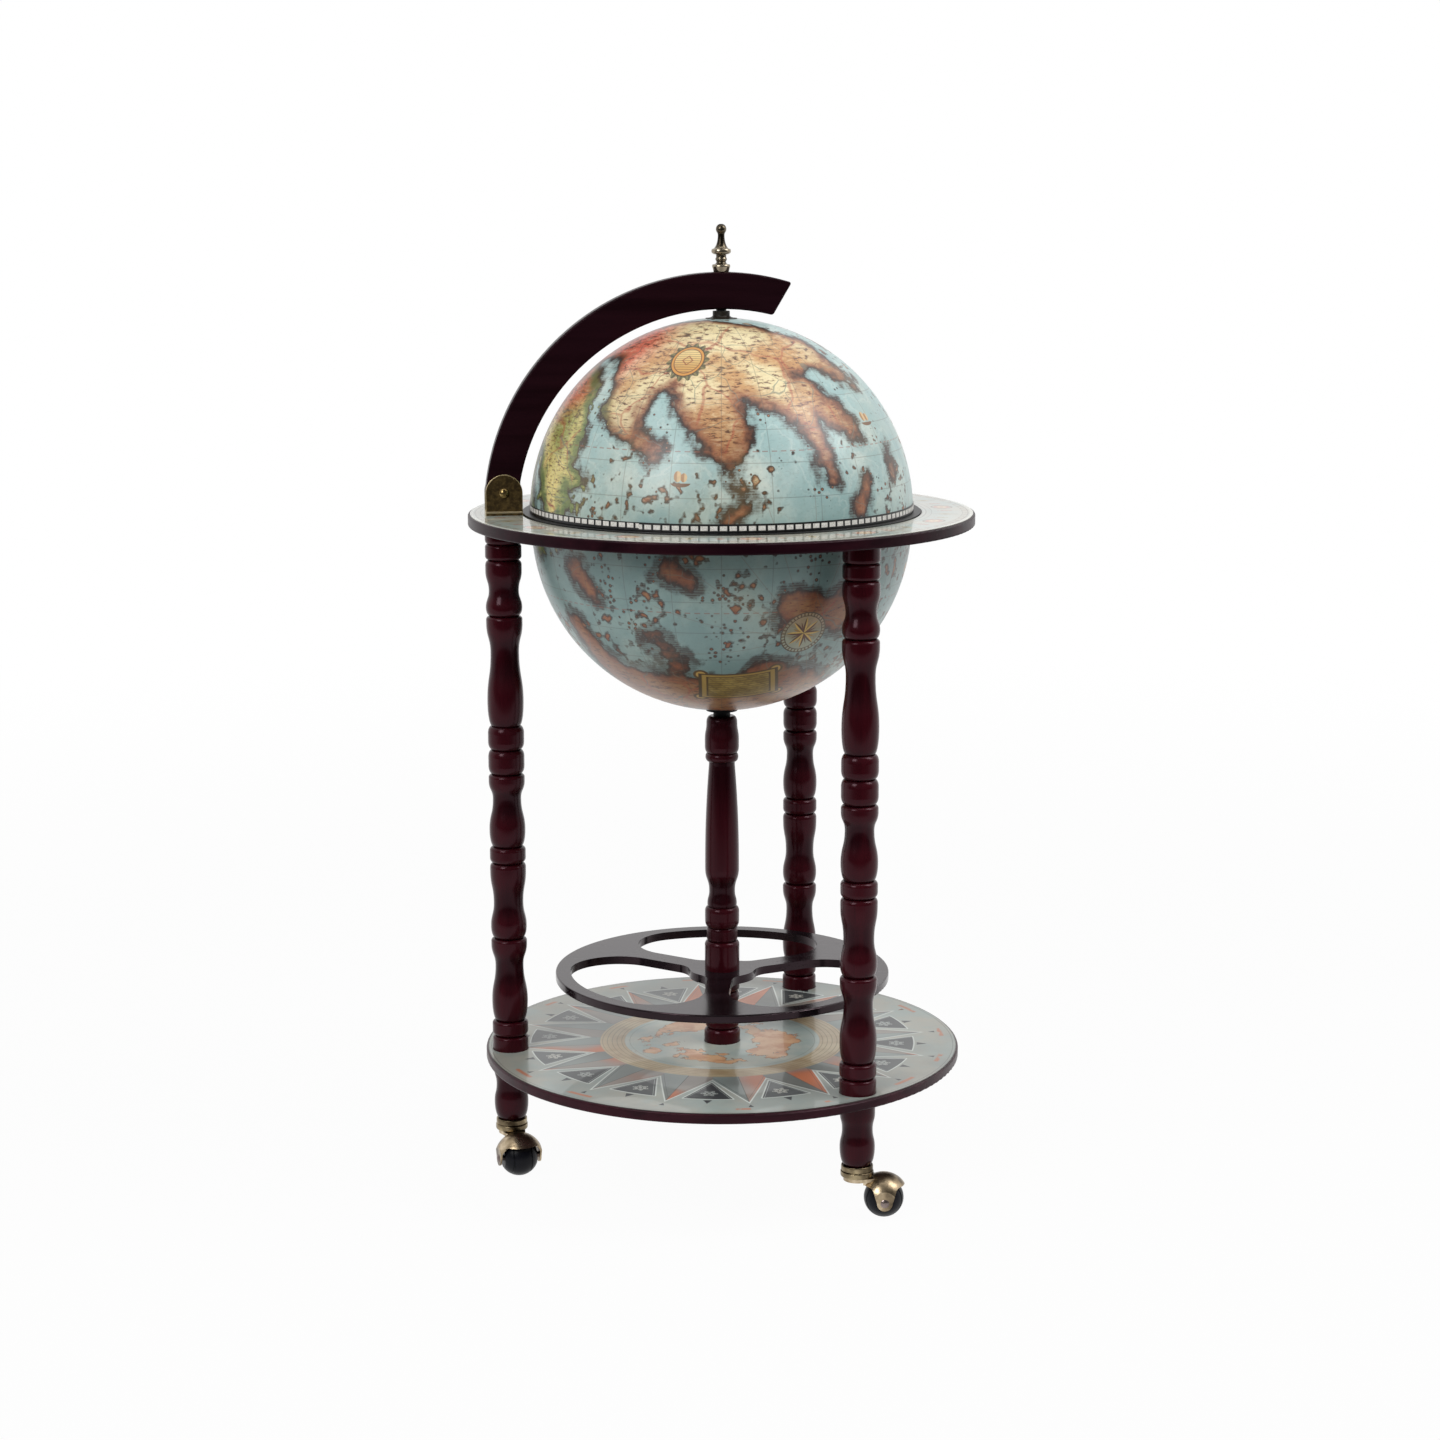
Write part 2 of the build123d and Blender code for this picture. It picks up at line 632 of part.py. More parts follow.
def countersunk_screw(x, y, z, radius, head_r, length):
    """Wood screw pointing down, its flat head level with z."""
    with BuildPart() as screw:
        with BuildSketch(upright(x, y)):
            with BuildLine():
                Polyline((0, z), (head_r, z), (radius, z - (head_r - radius)),
                         (radius, z - length + 2 * radius), (0, z - length), close=True)
            make_face()
        revolve(axis=Axis((x, y, 0), (0, 0, 1)))
    return screw.part


def group(pieces, name):
    """Write several separate solids as one node."""
    with BuildPart() as together:
        add(pieces)
    finish(together.part, name)


hinge_plane = Plane(origin=(hinge_x, 0, hinge_z), x_dir=(1, 0, 0), z_dir=(0, -1, 0))
finish(domed_pin(hinge_plane, hinge_pin_r, cheek_outer, hinge_head_r, hinge_head_height), "hinge_pin")

group([countersunk_screw(x, y, ring_top_z + bracket_base, bracket_screw_r,
                         bracket_screw_head_r, bracket_screw_length)
       for x, y in bracket_screw_places], "bracket_screws")

# ================================================================ shelf and its print
with BuildPart() as shelf:
    with BuildSketch(level(shelf_under_z)):
        Circle(shelf_r)
        Circle(tie_hole_r, mode=Mode.SUBTRACT)
        with Locations(*leg_places.values()):
            Circle(stud_r, mode=Mode.SUBTRACT)
    extrude(amount=shelf_wood_top_z - shelf_under_z)
    fillet(shelf.edges().filter_by(GeomType.CIRCLE).filter_by(lambda e: e.radius == shelf_r),
           shelf_edge_fillet)
finish(shelf.part, "shelf")

with BuildPart() as shelf_print:
    with BuildSketch(level(shelf_wood_top_z)):
        Circle(shelf_r - shelf_print_margin)
        Circle(spool_base_r + play, mode=Mode.SUBTRACT)
        with Locations(*leg_places.values()):
            Circle(leg_bead_r + play, mode=Mode.SUBTRACT)
    extrude(amount=print_thickness)
finish(shelf_print.part, "shelf_print")

# ================================================================ legs
bead, groove, waist, neck = leg_bead_r, leg_groove_r, leg_waist_r, leg_neck_r
leg_pattern = [
    (0.0, bead, "corner"), (12.0, bead, "crest"), (15.5, neck, "cusp"),
    (18.5, bead, "crest"), (26.5, bead, "crest"), (29.8, groove, "cusp"),
    (34.5, bead, "crest"), (39.5, bead, "crest"), (57.5, neck, "crest"), (72.5, bead, "crest"),
    (79.8, groove, "cusp"), (83.0, bead, "crest"), (86.5, bead, "crest"),
    (112.5, waist, "crest"), (157.5, bead, "crest"), (179.0, groove, "cusp"),
    (185.5, bead, "crest"), (193.5, bead, "crest"), (200.5, groove, "cusp"),
    (207.0, bead, "crest"), (215.5, bead, "crest"), (222.8, groove, "cusp"),
    (226.0, bead, "crest"), (229.5, bead, "crest"), (245.5, waist, "crest"),
    (274.5, bead, "crest"), (289.3, groove, "cusp"), (293.0, bead, "crest"),
    (300.0, bead, "crest"), (304.3, groove, "cusp"), (308.5, bead, "crest"),
    (311.5, bead, "crest"), (341.5, neck, "crest"), (363.5, bead, "crest"),
    (374.0, groove, "cusp"), (377.0, bead, "crest"), (380.0, bead, "crest"),
    (399.5, waist, "crest"), (433.0, bead, "crest"), (451.0, groove, "cusp"),
    (454.0, bead, "crest"), (461.5, bead, "crest"), (465.1, groove, "cusp"),
    (468.0, bead, "crest"), (479.0, bead, "corner"),
]
foot_pattern = [
    (0.0, foot_r, "corner"), (9.0, foot_r, "crest"), (24.5, foot_waist_r, "crest"),
    (41.5, foot_r, "crest"), (57.6, foot_end_r, "cusp"),
]
foot_end = [(foot_shoulder_z, spigot_r, "corner"), (foot_shoulder_z - spigot_height, spigot_r, "corner")]
leg_screw_depth = leg_screw_length - (ring_wood_top_z - ring_under_z)

for side, place in leg_places.items():
    leg = turning(stretched(leg_pattern, ring_under_z, shelf_wood_top_z), at=place,
                  bottom_hole=(stud_r, stud_reach),
                  top_hole=(leg_screw_r, leg_screw_depth))
    finish(leg, f"leg_{side}")
    foot = turning(stretched(foot_pattern, shelf_under_z, foot_shoulder_z) + foot_end, at=place,
                   bottom_hole=(ferrule_stem_r, ferrule_stem_height),
                   top_hole=(stud_r, stud_reach))
    finish(foot, f"foot_{side}")

group([disc(shelf_under_z - stud_reach, shelf_wood_top_z + stud_reach, stud_r, at=place)
       for place in leg_places.values()], "leg_studs")

group([countersunk_screw(*place, ring_wood_top_z, leg_screw_r, leg_screw_head_r, leg_screw_length)
       for place in leg_places.values()], "leg_screws")

# ================================================================ centre column and bottle plate
bead, groove, waist = column_bead_r, column_groove_r, column_waist_r
column_pattern = [
    (0.0, column_top_r, "cusp"), (6.0, column_shoulder_r, "crest"), (22.0, bead, "crest"),
    (28.0, bead, "crest"), (33.9, groove, "cusp"), (37.6, column_collar_r, "crest"),
    (42.0, waist, "cusp"), (45.0, waist, "slope"), (135.0, bead, "crest"),
    (141.0, bead, "crest"), (162.3, waist, "crest"), (174.0, column_swell_r, "crest"),
    (176.6, groove, "cusp"), (181.3, column_foot_bead_r, "crest"), (188.8, column_foot_bead_r, "crest"),
    (196.0, groove, "cusp"), (199.0, column_ring_r, "crest"), (206.0, column_ring_r, "crest"),
    (208.6, groove, "cusp"), (212.6, column_r, "crest"), (235.7, column_r, "corner"),
]
spool_pattern = [
    (0.0, column_r, "corner"), (9.0, column_r, "crest"), (12.5, groove, "cusp"),
    (18.0, bead, "crest"), (31.0, waist, "crest"), (43.5, bead, "crest"),
    (47.5, groove, "cusp"), (52.0, spool_base_r, "crest"), (61.0, spool_base_r, "corner"),
]
finish(turning(stretched(column_pattern, column_top_z, plate_top_z), bore_r=tie_hole_r), "column")
finish(turning(stretched(spool_pattern, plate_under_z, shelf_wood_top_z), bore_r=tie_hole_r),
       "column_spool")

plate_open_r = plate_r - plate_rim

with BuildPart() as bottle_plate:
    with BuildSketch(level(plate_under_z)):
        Circle(plate_r)
        Circle(tie_hole_r, mode=Mode.SUBTRACT)
    extrude(amount=plate_thickness)
    fillet(bottle_plate.edges().filter_by(lambda e: e.geom_type == GeomType.CIRCLE and e.radius == plate_r),
           plate_edge_fillet)
    with BuildSketch(level(plate_under_z)) as openings:
        Circle(plate_open_r)
        Circle(plate_hub_r, mode=Mode.SUBTRACT)
        with PolarLocations(plate_open_r / 2, plate_arm_count, start_angle=plate_first_arm):
            Rectangle(plate_open_r + plate_arm_width, plate_arm_width, mode=Mode.SUBTRACT)
        near_hub = openings.vertices().filter_by(lambda v: Vector(v.X, v.Y).length < plate_open_r / 2)
        fillet(near_hub, plate_hub_corner_r)
        near_rim = openings.vertices().filter_by(
            lambda v: abs(Vector(v.X, v.Y).length - plate_open_r) < same)
        fillet(near_rim, plate_rim_corner_r)
    extrude(amount=plate_thickness, mode=Mode.SUBTRACT)
finish(bottle_plate.part, "bottle_plate")

# ================================================================ tie rod, from bowl to shelf
tie_top_nut_z = bowl_floor_z + tie_washer_thickness
tie_low_washer_z = shelf_under_z - tie_washer_thickness
tie_low_nut_z = tie_low_washer_z - tie_nut_height

with BuildPart() as saddle_washer:
    with BuildSketch(level(bowl_floor_z)):
        Circle(tie_washer_r)
        Circle(tie_hole_r, mode=Mode.SUBTRACT)
    extrude(amount=tie_washer_thickness)
    with Locations((0, 0, bowl_centre_z)):
        Sphere(bowl_inner_r, mode=Mode.INTERSECT)

finish(disc(tie_low_nut_z - tie_rod_stick_out, tie_top_nut_z + tie_nut_height + tie_rod_stick_out,
            tie_rod_r), "tie_rod")
group([saddle_washer.part, disc(tie_low_washer_z, shelf_under_z, tie_washer_r, tie_hole_r)],
      "tie_washers")
group([hex_nut(tie_top_nut_z, tie_top_nut_z + tie_nut_height, tie_nut_across, tie_rod_r),
       hex_nut(tie_low_nut_z, tie_low_washer_z, tie_nut_across, tie_rod_r)], "tie_nuts")


# ================================================================ ball casters
ferrule_pattern = [
    (0.0, ferrule_top_r, "cusp"), (1.4, ferrule_cap_r, "crest"), (4.4, ferrule_cap_r, "crest"),
    (5.1, ferrule_groove_r, "cusp"), (6.2, ferrule_flange_r, "crest"),
    (9.0, ferrule_flange_r, "crest"), (10.8, ferrule_end_r, "cusp"),
]


def ferrule(at):
    """Brass cap under a foot, with a stem up into it and the swivel pin below."""
    outline = stretched(ferrule_pattern, foot_shoulder_z, ferrule_under_z)
    pin_end_z = ferrule_under_z - collar_height - 2 * play - swivel_head_height
    with BuildPart() as piece:
        add(turning(outline, top_hole=(spigot_r, spigot_height), at=at))
        with BuildSketch(level(foot_shoulder_z - spigot_height, *at)):
            Circle(ferrule_stem_r)
        extrude(amount=ferrule_stem_height)
        with BuildSketch(level(ferrule_under_z, *at)):
            Circle(swivel_pin_r)
        extrude(amount=pin_end_z - ferrule_under_z)
        with BuildSketch(level(pin_end_z, *at)):
            Circle(swivel_head_r)
        extrude(amount=swivel_head_height)
    return piece.part


def axle_half_plane(side):
    """Plane whose x runs along the axle and whose y runs up from it."""
    return Plane(side.origin, x_dir=side.z_dir, z_dir=side.x_dir)


def ball_drum(side, radius, half_width, bore_r=0.0):
    """Ball with its two sides cut flat, centred on a plane whose normal is the axle."""
    flat_r = sqrt(radius ** 2 - half_width ** 2)
    with BuildPart() as drum:
        with BuildSketch(axle_half_plane(side)):
            with BuildLine():
                ThreePointArc((-half_width, flat_r), (0, radius), (half_width, flat_r))
                Polyline((half_width, flat_r), (half_width, bore_r), (-half_width, bore_r),
                         (-half_width, flat_r))
            make_face()
        revolve(axis=Axis(side.origin, side.z_dir))
    return drum.part


def hood(side, at):
    """Brass fork over the ball: half a hollow ball with an ear each side, hung from a collar."""
    cavity = ball_drum(side, hood_r - hood_wall, hood_half_width - hood_wall)
    with BuildPart() as piece:
        add(ball_drum(side, hood_r, hood_half_width))
        with BuildSketch(side) as kept:
            with Locations((0, hood_lip_rise + hood_r)):
                Rectangle(3 * hood_r, 2 * hood_r)
            with BuildLine():
                Polyline((-ear_root_half_width, hood_lip_rise + overshoot),
                         (ear_root_half_width, hood_lip_rise + overshoot),
                         (ear_r, 0), (-ear_r, 0), close=True)
            make_face()
            Circle(ear_r)
            roots = kept.vertices().filter_by(
                lambda v: abs(v.Y - hood_lip_rise) < same and abs(v.X) < hood_r)
            fillet(roots, ear_corner_r)
        extrude(amount=hood_half_width, both=True, mode=Mode.INTERSECT)
        collar_z = ferrule_under_z - play - collar_height
        with BuildSketch(level(collar_z, *at)):
            Circle(collar_r)
            with Locations((neck_reach * side.x_dir.X, neck_reach * side.x_dir.Y)):
                Circle(neck_r)
            make_hull()
        extrude(amount=collar_height)
        with BuildSketch(side):
            with BuildLine():
                Polyline((swivel_head_r + 2 * play - caster_trail, collar_z - ball_r),
                         (-sqrt(hood_r ** 2 - hood_lip_rise ** 2), hood_lip_rise),
                         (0, hood_lip_rise), (0, collar_z - ball_r), close=True)
            make_face()
        extrude(amount=gusset_half_width, both=True)
        add(cavity, mode=Mode.SUBTRACT)
        with BuildSketch(level(ferrule_under_z - play, *at)):
            Circle(ferrule_flange_r + play)
        extrude(amount=hood_r, mode=Mode.SUBTRACT)
        with BuildSketch(level(collar_z, *at)):
            Circle(swivel_pin_r + running)
        extrude(amount=collar_height, mode=Mode.SUBTRACT)
        with BuildSketch(side):
            Circle(axle_r)
        extrude(amount=hood_r, both=True, mode=Mode.SUBTRACT)
    return piece.part


def ball_wheel(side):
    """Ball tyre with flat sides, an axle bore and a shallow groove round each shoulder."""
    groove_offset = ball_half_width * tread_groove_share
    groove_circle_r = sqrt(ball_r ** 2 - groove_offset ** 2)
    with BuildPart() as wheel:
        add(ball_drum(side, ball_r, ball_half_width, axle_r + running))
        with BuildSketch(axle_half_plane(side)):
            with Locations((groove_offset, groove_circle_r), (-groove_offset, groove_circle_r)):
                Circle(tread_groove_r)
        revolve(axis=Axis(side.origin, side.z_dir), mode=Mode.SUBTRACT)
    return wheel.part


for side_name, heading in caster_headings.items():
    stem = leg_places[side_name]
    trail = Vector(*at_angle(1, heading))
    ball_side = Plane(origin=(stem[0] + caster_trail * trail.X, stem[1] + caster_trail * trail.Y, ball_r),
                      x_dir=trail, z_dir=(trail.Y, -trail.X, 0))
    finish(ferrule(stem), f"ferrule_{side_name}")
    finish(hood(ball_side, stem), f"caster_hood_{side_name}")
    finish(domed_pin(ball_side, axle_r, hood_half_width, axle_head_r, axle_head_height),
           f"caster_axle_{side_name}")
    finish(ball_wheel(ball_side), f"caster_ball_{side_name}")
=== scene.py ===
"""Looks of the globe bar: varnished map prints, dark turned wood, antique brass and soft light.

Metres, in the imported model's frame.  Longitudes of the drawn map are counted from the side that
faces the camera, positive to its right.
"""
import bmesh
import bpy
import json
from math import cos, pi, radians, sin
from mathutils import Matrix, Vector


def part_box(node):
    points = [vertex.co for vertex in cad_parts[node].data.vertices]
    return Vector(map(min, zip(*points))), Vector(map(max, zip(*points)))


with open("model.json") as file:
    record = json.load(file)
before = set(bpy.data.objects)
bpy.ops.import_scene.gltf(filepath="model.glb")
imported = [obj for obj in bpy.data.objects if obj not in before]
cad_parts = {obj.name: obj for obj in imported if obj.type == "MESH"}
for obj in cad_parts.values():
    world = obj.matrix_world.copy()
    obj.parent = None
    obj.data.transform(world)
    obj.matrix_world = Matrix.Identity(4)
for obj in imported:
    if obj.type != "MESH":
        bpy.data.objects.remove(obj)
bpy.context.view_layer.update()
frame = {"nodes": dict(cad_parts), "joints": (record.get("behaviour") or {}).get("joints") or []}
nodes = frame["nodes"]
joints = {joint["name"]: joint for joint in frame["joints"]}

MM = 0.001
FRONT = 262.8                    # azimuth of the camera's side, degrees from +X
SIDES = ("left", "front", "back")
AXIS = Vector((0, 0, 0))         # a point on the globe's, the column's and the finial's axis


# ---------------------------------------------------------------- places read from the frame
def middle(node):
    low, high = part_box(node)
    return (low + high) / 2


globe_centre = Vector((0, 0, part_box("ring_print")[1].z))
dome_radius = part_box("dome_shell")[1].x
bowl_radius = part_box("bowl_shell")[1].x
bowl_centre = Vector((0, 0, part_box("bowl_shell")[0].z + bowl_radius))
band_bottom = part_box("dome_band")[0].z
leg_axes = [middle(f"leg_{side}") for side in SIDES]
bead_radius = (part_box("leg_left")[1].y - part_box("leg_left")[0].y) / 2
hinge = Vector(joints["lid_hinge"]["pos_m"])


# ---------------------------------------------------------------- colours
def ink(code):
    """Linear, opaque colour of a #RRGGBB code."""
    parts = [int(code[i:i + 2], 16) / 255 for i in (1, 3, 5)]
    return (*[c / 12.92 if c <= 0.04045 else ((c + 0.055) / 1.055) ** 2.4 for c in parts], 1.0)


# ---------------------------------------------------------------- fields: arithmetic on a surface
def feed(tree, socket, value):
    """Link a field to a socket, or set the socket to a constant."""
    if isinstance(value, Field):
        tree.links.new(value.socket, socket)
    else:
        socket.default_value = value


class Field:
    """A number, vector or colour that varies over a surface.  Arithmetic on it adds nodes."""

    def __init__(self, tree, socket):
        self.tree = tree
        self.socket = socket

    def node(self, kind, *values, output=0, **settings):
        made = self.tree.nodes.new(kind)
        for key, value in settings.items():
            setattr(made, key, value)
        for socket, value in zip(made.inputs, values):
            if value is not None:
                feed(self.tree, socket, value)
        return Field(self.tree, made.outputs[output])

    def math(self, operation, *others):
        return self.node("ShaderNodeMath", self, *others, operation=operation)

    def vector(self, operation, *others, output=0):
        return self.node("ShaderNodeVectorMath", self, *others, output=output, operation=operation)

    def __add__(self, other):
        return self.math("ADD", other)

    __radd__ = __add__

    def __sub__(self, other):
        return self.math("SUBTRACT", other)

    def __rsub__(self, other):
        return self.math("MULTIPLY_ADD", -1.0, other)

    def __mul__(self, other):
        return self.math("MULTIPLY", other)

    __rmul__ = __mul__

    def __truediv__(self, other):
        return self.math("DIVIDE", other)

    def abs(self):
        return self.math("ABSOLUTE")

    def min(self, other):
        return self.math("MINIMUM", other)

    def max(self, other):
        return self.math("MAXIMUM", other)

    def step(self, low, high):
        """0 below low and 1 above high, smoothly; the other way round if high is the lower."""
        made = self.tree.nodes.new("ShaderNodeMapRange")
        made.interpolation_type = "SMOOTHSTEP"
        rising = high >= low
        for socket, value in zip(made.inputs, (self, min(low, high), max(low, high),
                                               0.0 if rising else 1.0, 1.0 if rising else 0.0)):
            feed(self.tree, socket, value)
        return Field(self.tree, made.outputs[0])

    def line(self, width):
        """1 where this distance is near 0, fading at half the width."""
        return self.abs().step(width * 0.75, width * 0.25)

    def repeat(self, period):
        """Distance from the nearest multiple of a period."""
        return self.math("PINGPONG", period / 2)

    def mix(self, start, end):
        """Colour start where this is 0 and end where it is 1."""
        made = self.tree.nodes.new("ShaderNodeMix")
        made.data_type = "RGBA"
        for index, value in ((0, self), (6, start), (7, end)):
            feed(self.tree, made.inputs[index], value)
        return Field(self.tree, made.outputs[2])

    def parts(self):
        made = self.tree.nodes.new("ShaderNodeSeparateXYZ")
        feed(self.tree, made.inputs[0], self)
        return [Field(self.tree, output) for output in made.outputs]

    def scaled(self, x, y, z):
        return self.vector("MULTIPLY", (x, y, z))

    def noise(self, scale, detail=4.0, roughness=0.55, output=0):
        """Cloudy noise about 0.5, or with output 1 three of them as a vector."""
        made = self.tree.nodes.new("ShaderNodeTexNoise")
        settings = {"Vector": self, "Scale": scale, "Detail": detail, "Roughness": roughness}
        for name, value in settings.items():
            feed(self.tree, made.inputs[name], value)
        return Field(self.tree, made.outputs[output])

    def cells(self, scale, feature="F1"):
        """Distance from the nearest of some scattered points, or from the border between two."""
        made = self.tree.nodes.new("ShaderNodeTexVoronoi")
        made.feature = feature
        feed(self.tree, made.inputs["Vector"], self)
        feed(self.tree, made.inputs["Scale"], scale)
        return Field(self.tree, made.outputs[0])

    def clouds(self, start, end):
        """Colour that drifts from start to end as this noise rises through its middle."""
        return self.step(0.35, 0.65).mix(start, end)

    def distance(self, spot):
        return self.vector("DISTANCE", tuple(spot), output=1)

    def along(self, direction):
        """How far this place lies along a direction."""
        return self.vector("DOT_PRODUCT", tuple(direction), output=1)

    def off_axis(self, axis):
        """Distance of this place from a vertical axis through a point."""
        return self.scaled(1, 1, 0).vector("DISTANCE", (axis.x, axis.y, 0), output=1)


def joined(tree, x, y, z):
    made = tree.nodes.new("ShaderNodeCombineXYZ")
    for socket, value in zip(made.inputs, (x, y, z)):
        feed(tree, socket, value)
    return Field(tree, made.outputs[0])


class Finish:
    """A material: its tree, the place on the surface in metres, and its shader."""

    def __init__(self, name, **constants):
        self.material = bpy.data.materials.new(name)
        self.material.use_nodes = True
        self.tree = self.material.node_tree
        self.shader = self.tree.nodes["Principled BSDF"]
        coordinates = self.tree.nodes.new("ShaderNodeTexCoord")
        self.place = Field(self.tree, coordinates.outputs["Object"])
        for key, value in constants.items():
            self.shader.inputs[INPUTS[key]].default_value = value

    def set(self, **fields):
        for key, value in fields.items():
            feed(self.tree, self.shader.inputs[INPUTS[key]], value)

    def bump(self, height, distance):
        made = self.tree.nodes.new("ShaderNodeBump")
        made.inputs["Strength"].default_value = 1.0
        made.inputs["Distance"].default_value = distance
        feed(self.tree, made.inputs["Height"], height)
        self.tree.links.new(made.outputs[0], self.shader.inputs["Normal"])


INPUTS = {"color": "Base Color", "rough": "Roughness", "metal": "Metallic", "coat": "Coat Weight",
          "coat_rough": "Coat Roughness", "specular": "Specular IOR Level", "tint": "Specular Tint"}


# ---------------------------------------------------------------- wood
WOOD_DEEP, WOOD_MID, WOOD_RED = ink("#190307"), ink("#2B070D"), ink("#430E17")
WOOD_SHEEN = ink("#E6C0CC")      # the lacquer's reflections are a little pink
STREAKS_ACROSS, STREAKS_ALONG = 70.0, 4.0    # per metre
PORES_TO_STREAKS = 7
COLUMN_CREST = 15.6 * MM


def grain(finish, along):
    """Long streaks and fine pores along one axis: (streaks, pores), each 0 to 1."""
    stretch = [STREAKS_ACROSS] * 3
    stretch[along] = STREAKS_ALONG
    streaks = finish.place.scaled(*stretch).noise(1.0, 5.0, 0.6)
    pores = finish.place.scaled(*[s * PORES_TO_STREAKS for s in stretch]).noise(1.0, 2.0, 0.7)
    return streaks, pores.step(0.60, 0.72)


def board_wood(name, along=0, deep=WOOD_DEEP, mid=WOOD_MID, red=WOOD_RED, gloss=0.2, rough=0.30):
    """Stained and lacquered board with its grain along one axis."""
    finish = Finish(name, specular=gloss, tint=WOOD_SHEEN)
    streaks, pores = grain(finish, along)
    colour = streaks.step(0.30, 0.62).mix(deep, mid)
    colour = (streaks.step(0.55, 0.80) * 0.35).mix(colour, red)
    finish.set(color=(pores * 0.35).mix(colour, deep), rough=streaks * 0.08 + rough)
    finish.bump(streaks * 0.6 - pores, 0.05 * MM)
    return finish.material


def turned_wood(name, axes, crest_radius):
    """Turned and stained wood: redder and lighter on the beads' crests as a painted highlight, darker in the
    grooves as painted shade.
    """
    finish = Finish(name, specular=0.24, tint=WOOD_SHEEN)
    streaks, pores = grain(finish, 2)
    radii = [finish.place.off_axis(axis) for axis in axes]
    radius = radii[0]
    for other in radii[1:]:
        radius = radius.min(other)
    # painted light: lighter and redder far from the axis, on the crests, and darker near it, in the grooves
    crest_light_groove_shade = radius.step(crest_radius * 0.80, crest_radius * 0.99)
    colour = (streaks.step(0.25, 0.65) * 0.6 + crest_light_groove_shade * 0.4).mix(WOOD_DEEP, WOOD_MID)
    colour = (streaks.step(0.45, 0.80) * 0.35 + crest_light_groove_shade * 0.35).mix(colour, WOOD_RED)
    finish.set(color=(pores * 0.3).mix(colour, WOOD_DEEP), rough=streaks * 0.05 + 0.18)
    finish.bump(streaks * 0.5 - pores, 0.02 * MM)
    return finish.material


# ---------------------------------------------------------------- metals and plastics
def old_brass(name, dark, mid, bright, rough=0.26, worn=None):
    """Antique brass: dark patina in soft clouds, worn brighter between them; with a turned piece's radius
    given, also brighter on its crests as a painted highlight and darker in its grooves as patina and painted
    shade.
    """
    finish = Finish(name, metal=1.0)
    patina = finish.place.noise(70, 4.0, 0.5)
    specks = finish.place.noise(1200, 3.0, 0.6)
    # for the finial, half of the tone follows the radius: a painted highlight on the crests and painted
    # shade with patina in the grooves
    wear_and_sheen = patina if worn is None else patina * 0.5 + worn(finish.place) * 0.5
    colour = wear_and_sheen.step(0.30, 0.55).mix(dark, mid)
    colour = wear_and_sheen.step(0.50, 0.72).mix(colour, bright)
    colour = (specks.step(0.66, 0.78) * 0.3).mix(colour, dark)
    finish.set(color=colour, rough=(1.0 - wear_and_sheen) * 0.16 + rough - 0.04)
    finish.bump(patina + specks * 0.2, 0.02 * MM)
    return finish.material


def on_crests(axis, low, high):
    """Wear and painted light of a turned piece: 0 at the low radius, in its grooves, and 1 at the high one;
    the grooves darker as patina and painted shade, the crests brighter as a painted highlight.
    """
    def worn(place):
        return place.off_axis(axis).step(low, high)
    return worn


def bracket_bronze():
    """Dark bronze cheeks with specks of wear, a painted highlight along the cheeks' rounded edge and a
    brighter painted highlight along the base plate's top edge.
    """
    finish = Finish("dark_bronze", metal=1.0)
    across, _, up = finish.place.vector("SUBTRACT", tuple(hinge)).parts()
    half_width = (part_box("hinge_bracket")[1].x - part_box("hinge_bracket")[0].x) / 2
    base_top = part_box("bracket_screws")[1].z - hinge.z
    reach = joined(finish.tree, across, 0.0, up.max(0.0)).vector("LENGTH", output=1).max(across.abs())
    # painted highlight: a bright band along the rounded edge of the cheeks
    edge = reach.step(half_width - 0.9 * MM, half_width - 0.3 * MM)
    # painted highlight: a bright line along the top edge of the base plate
    lip_highlight = up.step(base_top - 1.7 * MM, base_top - 1.2 * MM) * up.step(base_top + 0.3 * MM, base_top)
    patina = finish.place.noise(260, 5.0, 0.65)
    specks = finish.place.noise(1400, 2.0, 0.6).step(0.60, 0.72)
    colour = patina.step(0.35, 0.70).mix(ink("#4C3E2A"), ink("#77633F"))
    colour = (specks * 0.35).mix(colour, ink("#9A855E"))
    colour = edge.mix(colour, ink("#B3A27C"))
    colour = (lip_highlight * (0.9 - patina * 0.5)).mix(colour, ink("#D6C5A2"))
    finish.set(color=colour, rough=patina * 0.15 + 0.34)
    finish.bump(patina + specks * 0.3, 0.03 * MM)
    return finish.material


def moulded(name, base, light, rough, gloss=0.4):
    """Moulded plastic with a faint grain."""
    finish = Finish(name, specular=gloss)
    cloud = finish.place.noise(60, 3.0)
    fine = finish.place.noise(1800, 2.0)
    finish.set(color=(cloud * 0.6).mix(base, light), rough=fine * 0.08 + rough)
    finish.bump(fine, 0.02 * MM)
    return finish.material


def plated_steel():
    finish = Finish("plated_steel", metal=1.0)
    turning_marks = finish.place.scaled(40, 40, 900).noise(1.0, 3.0)
    finish.set(color=turning_marks.mix(ink("#8D8E90"), ink("#C4C5C8")), rough=turning_marks * 0.15 + 0.25)
    finish.bump(turning_marks, 0.02 * MM)
    return finish.material


# ---------------------------------------------------------------- the globe's invented map
def spot(longitude, latitude):
    """Point on the map's unit sphere, from degrees."""
    lon, lat = radians(longitude), radians(latitude)
    return Vector((cos(lat) * cos(lon), cos(lat) * sin(lon), sin(lat)))


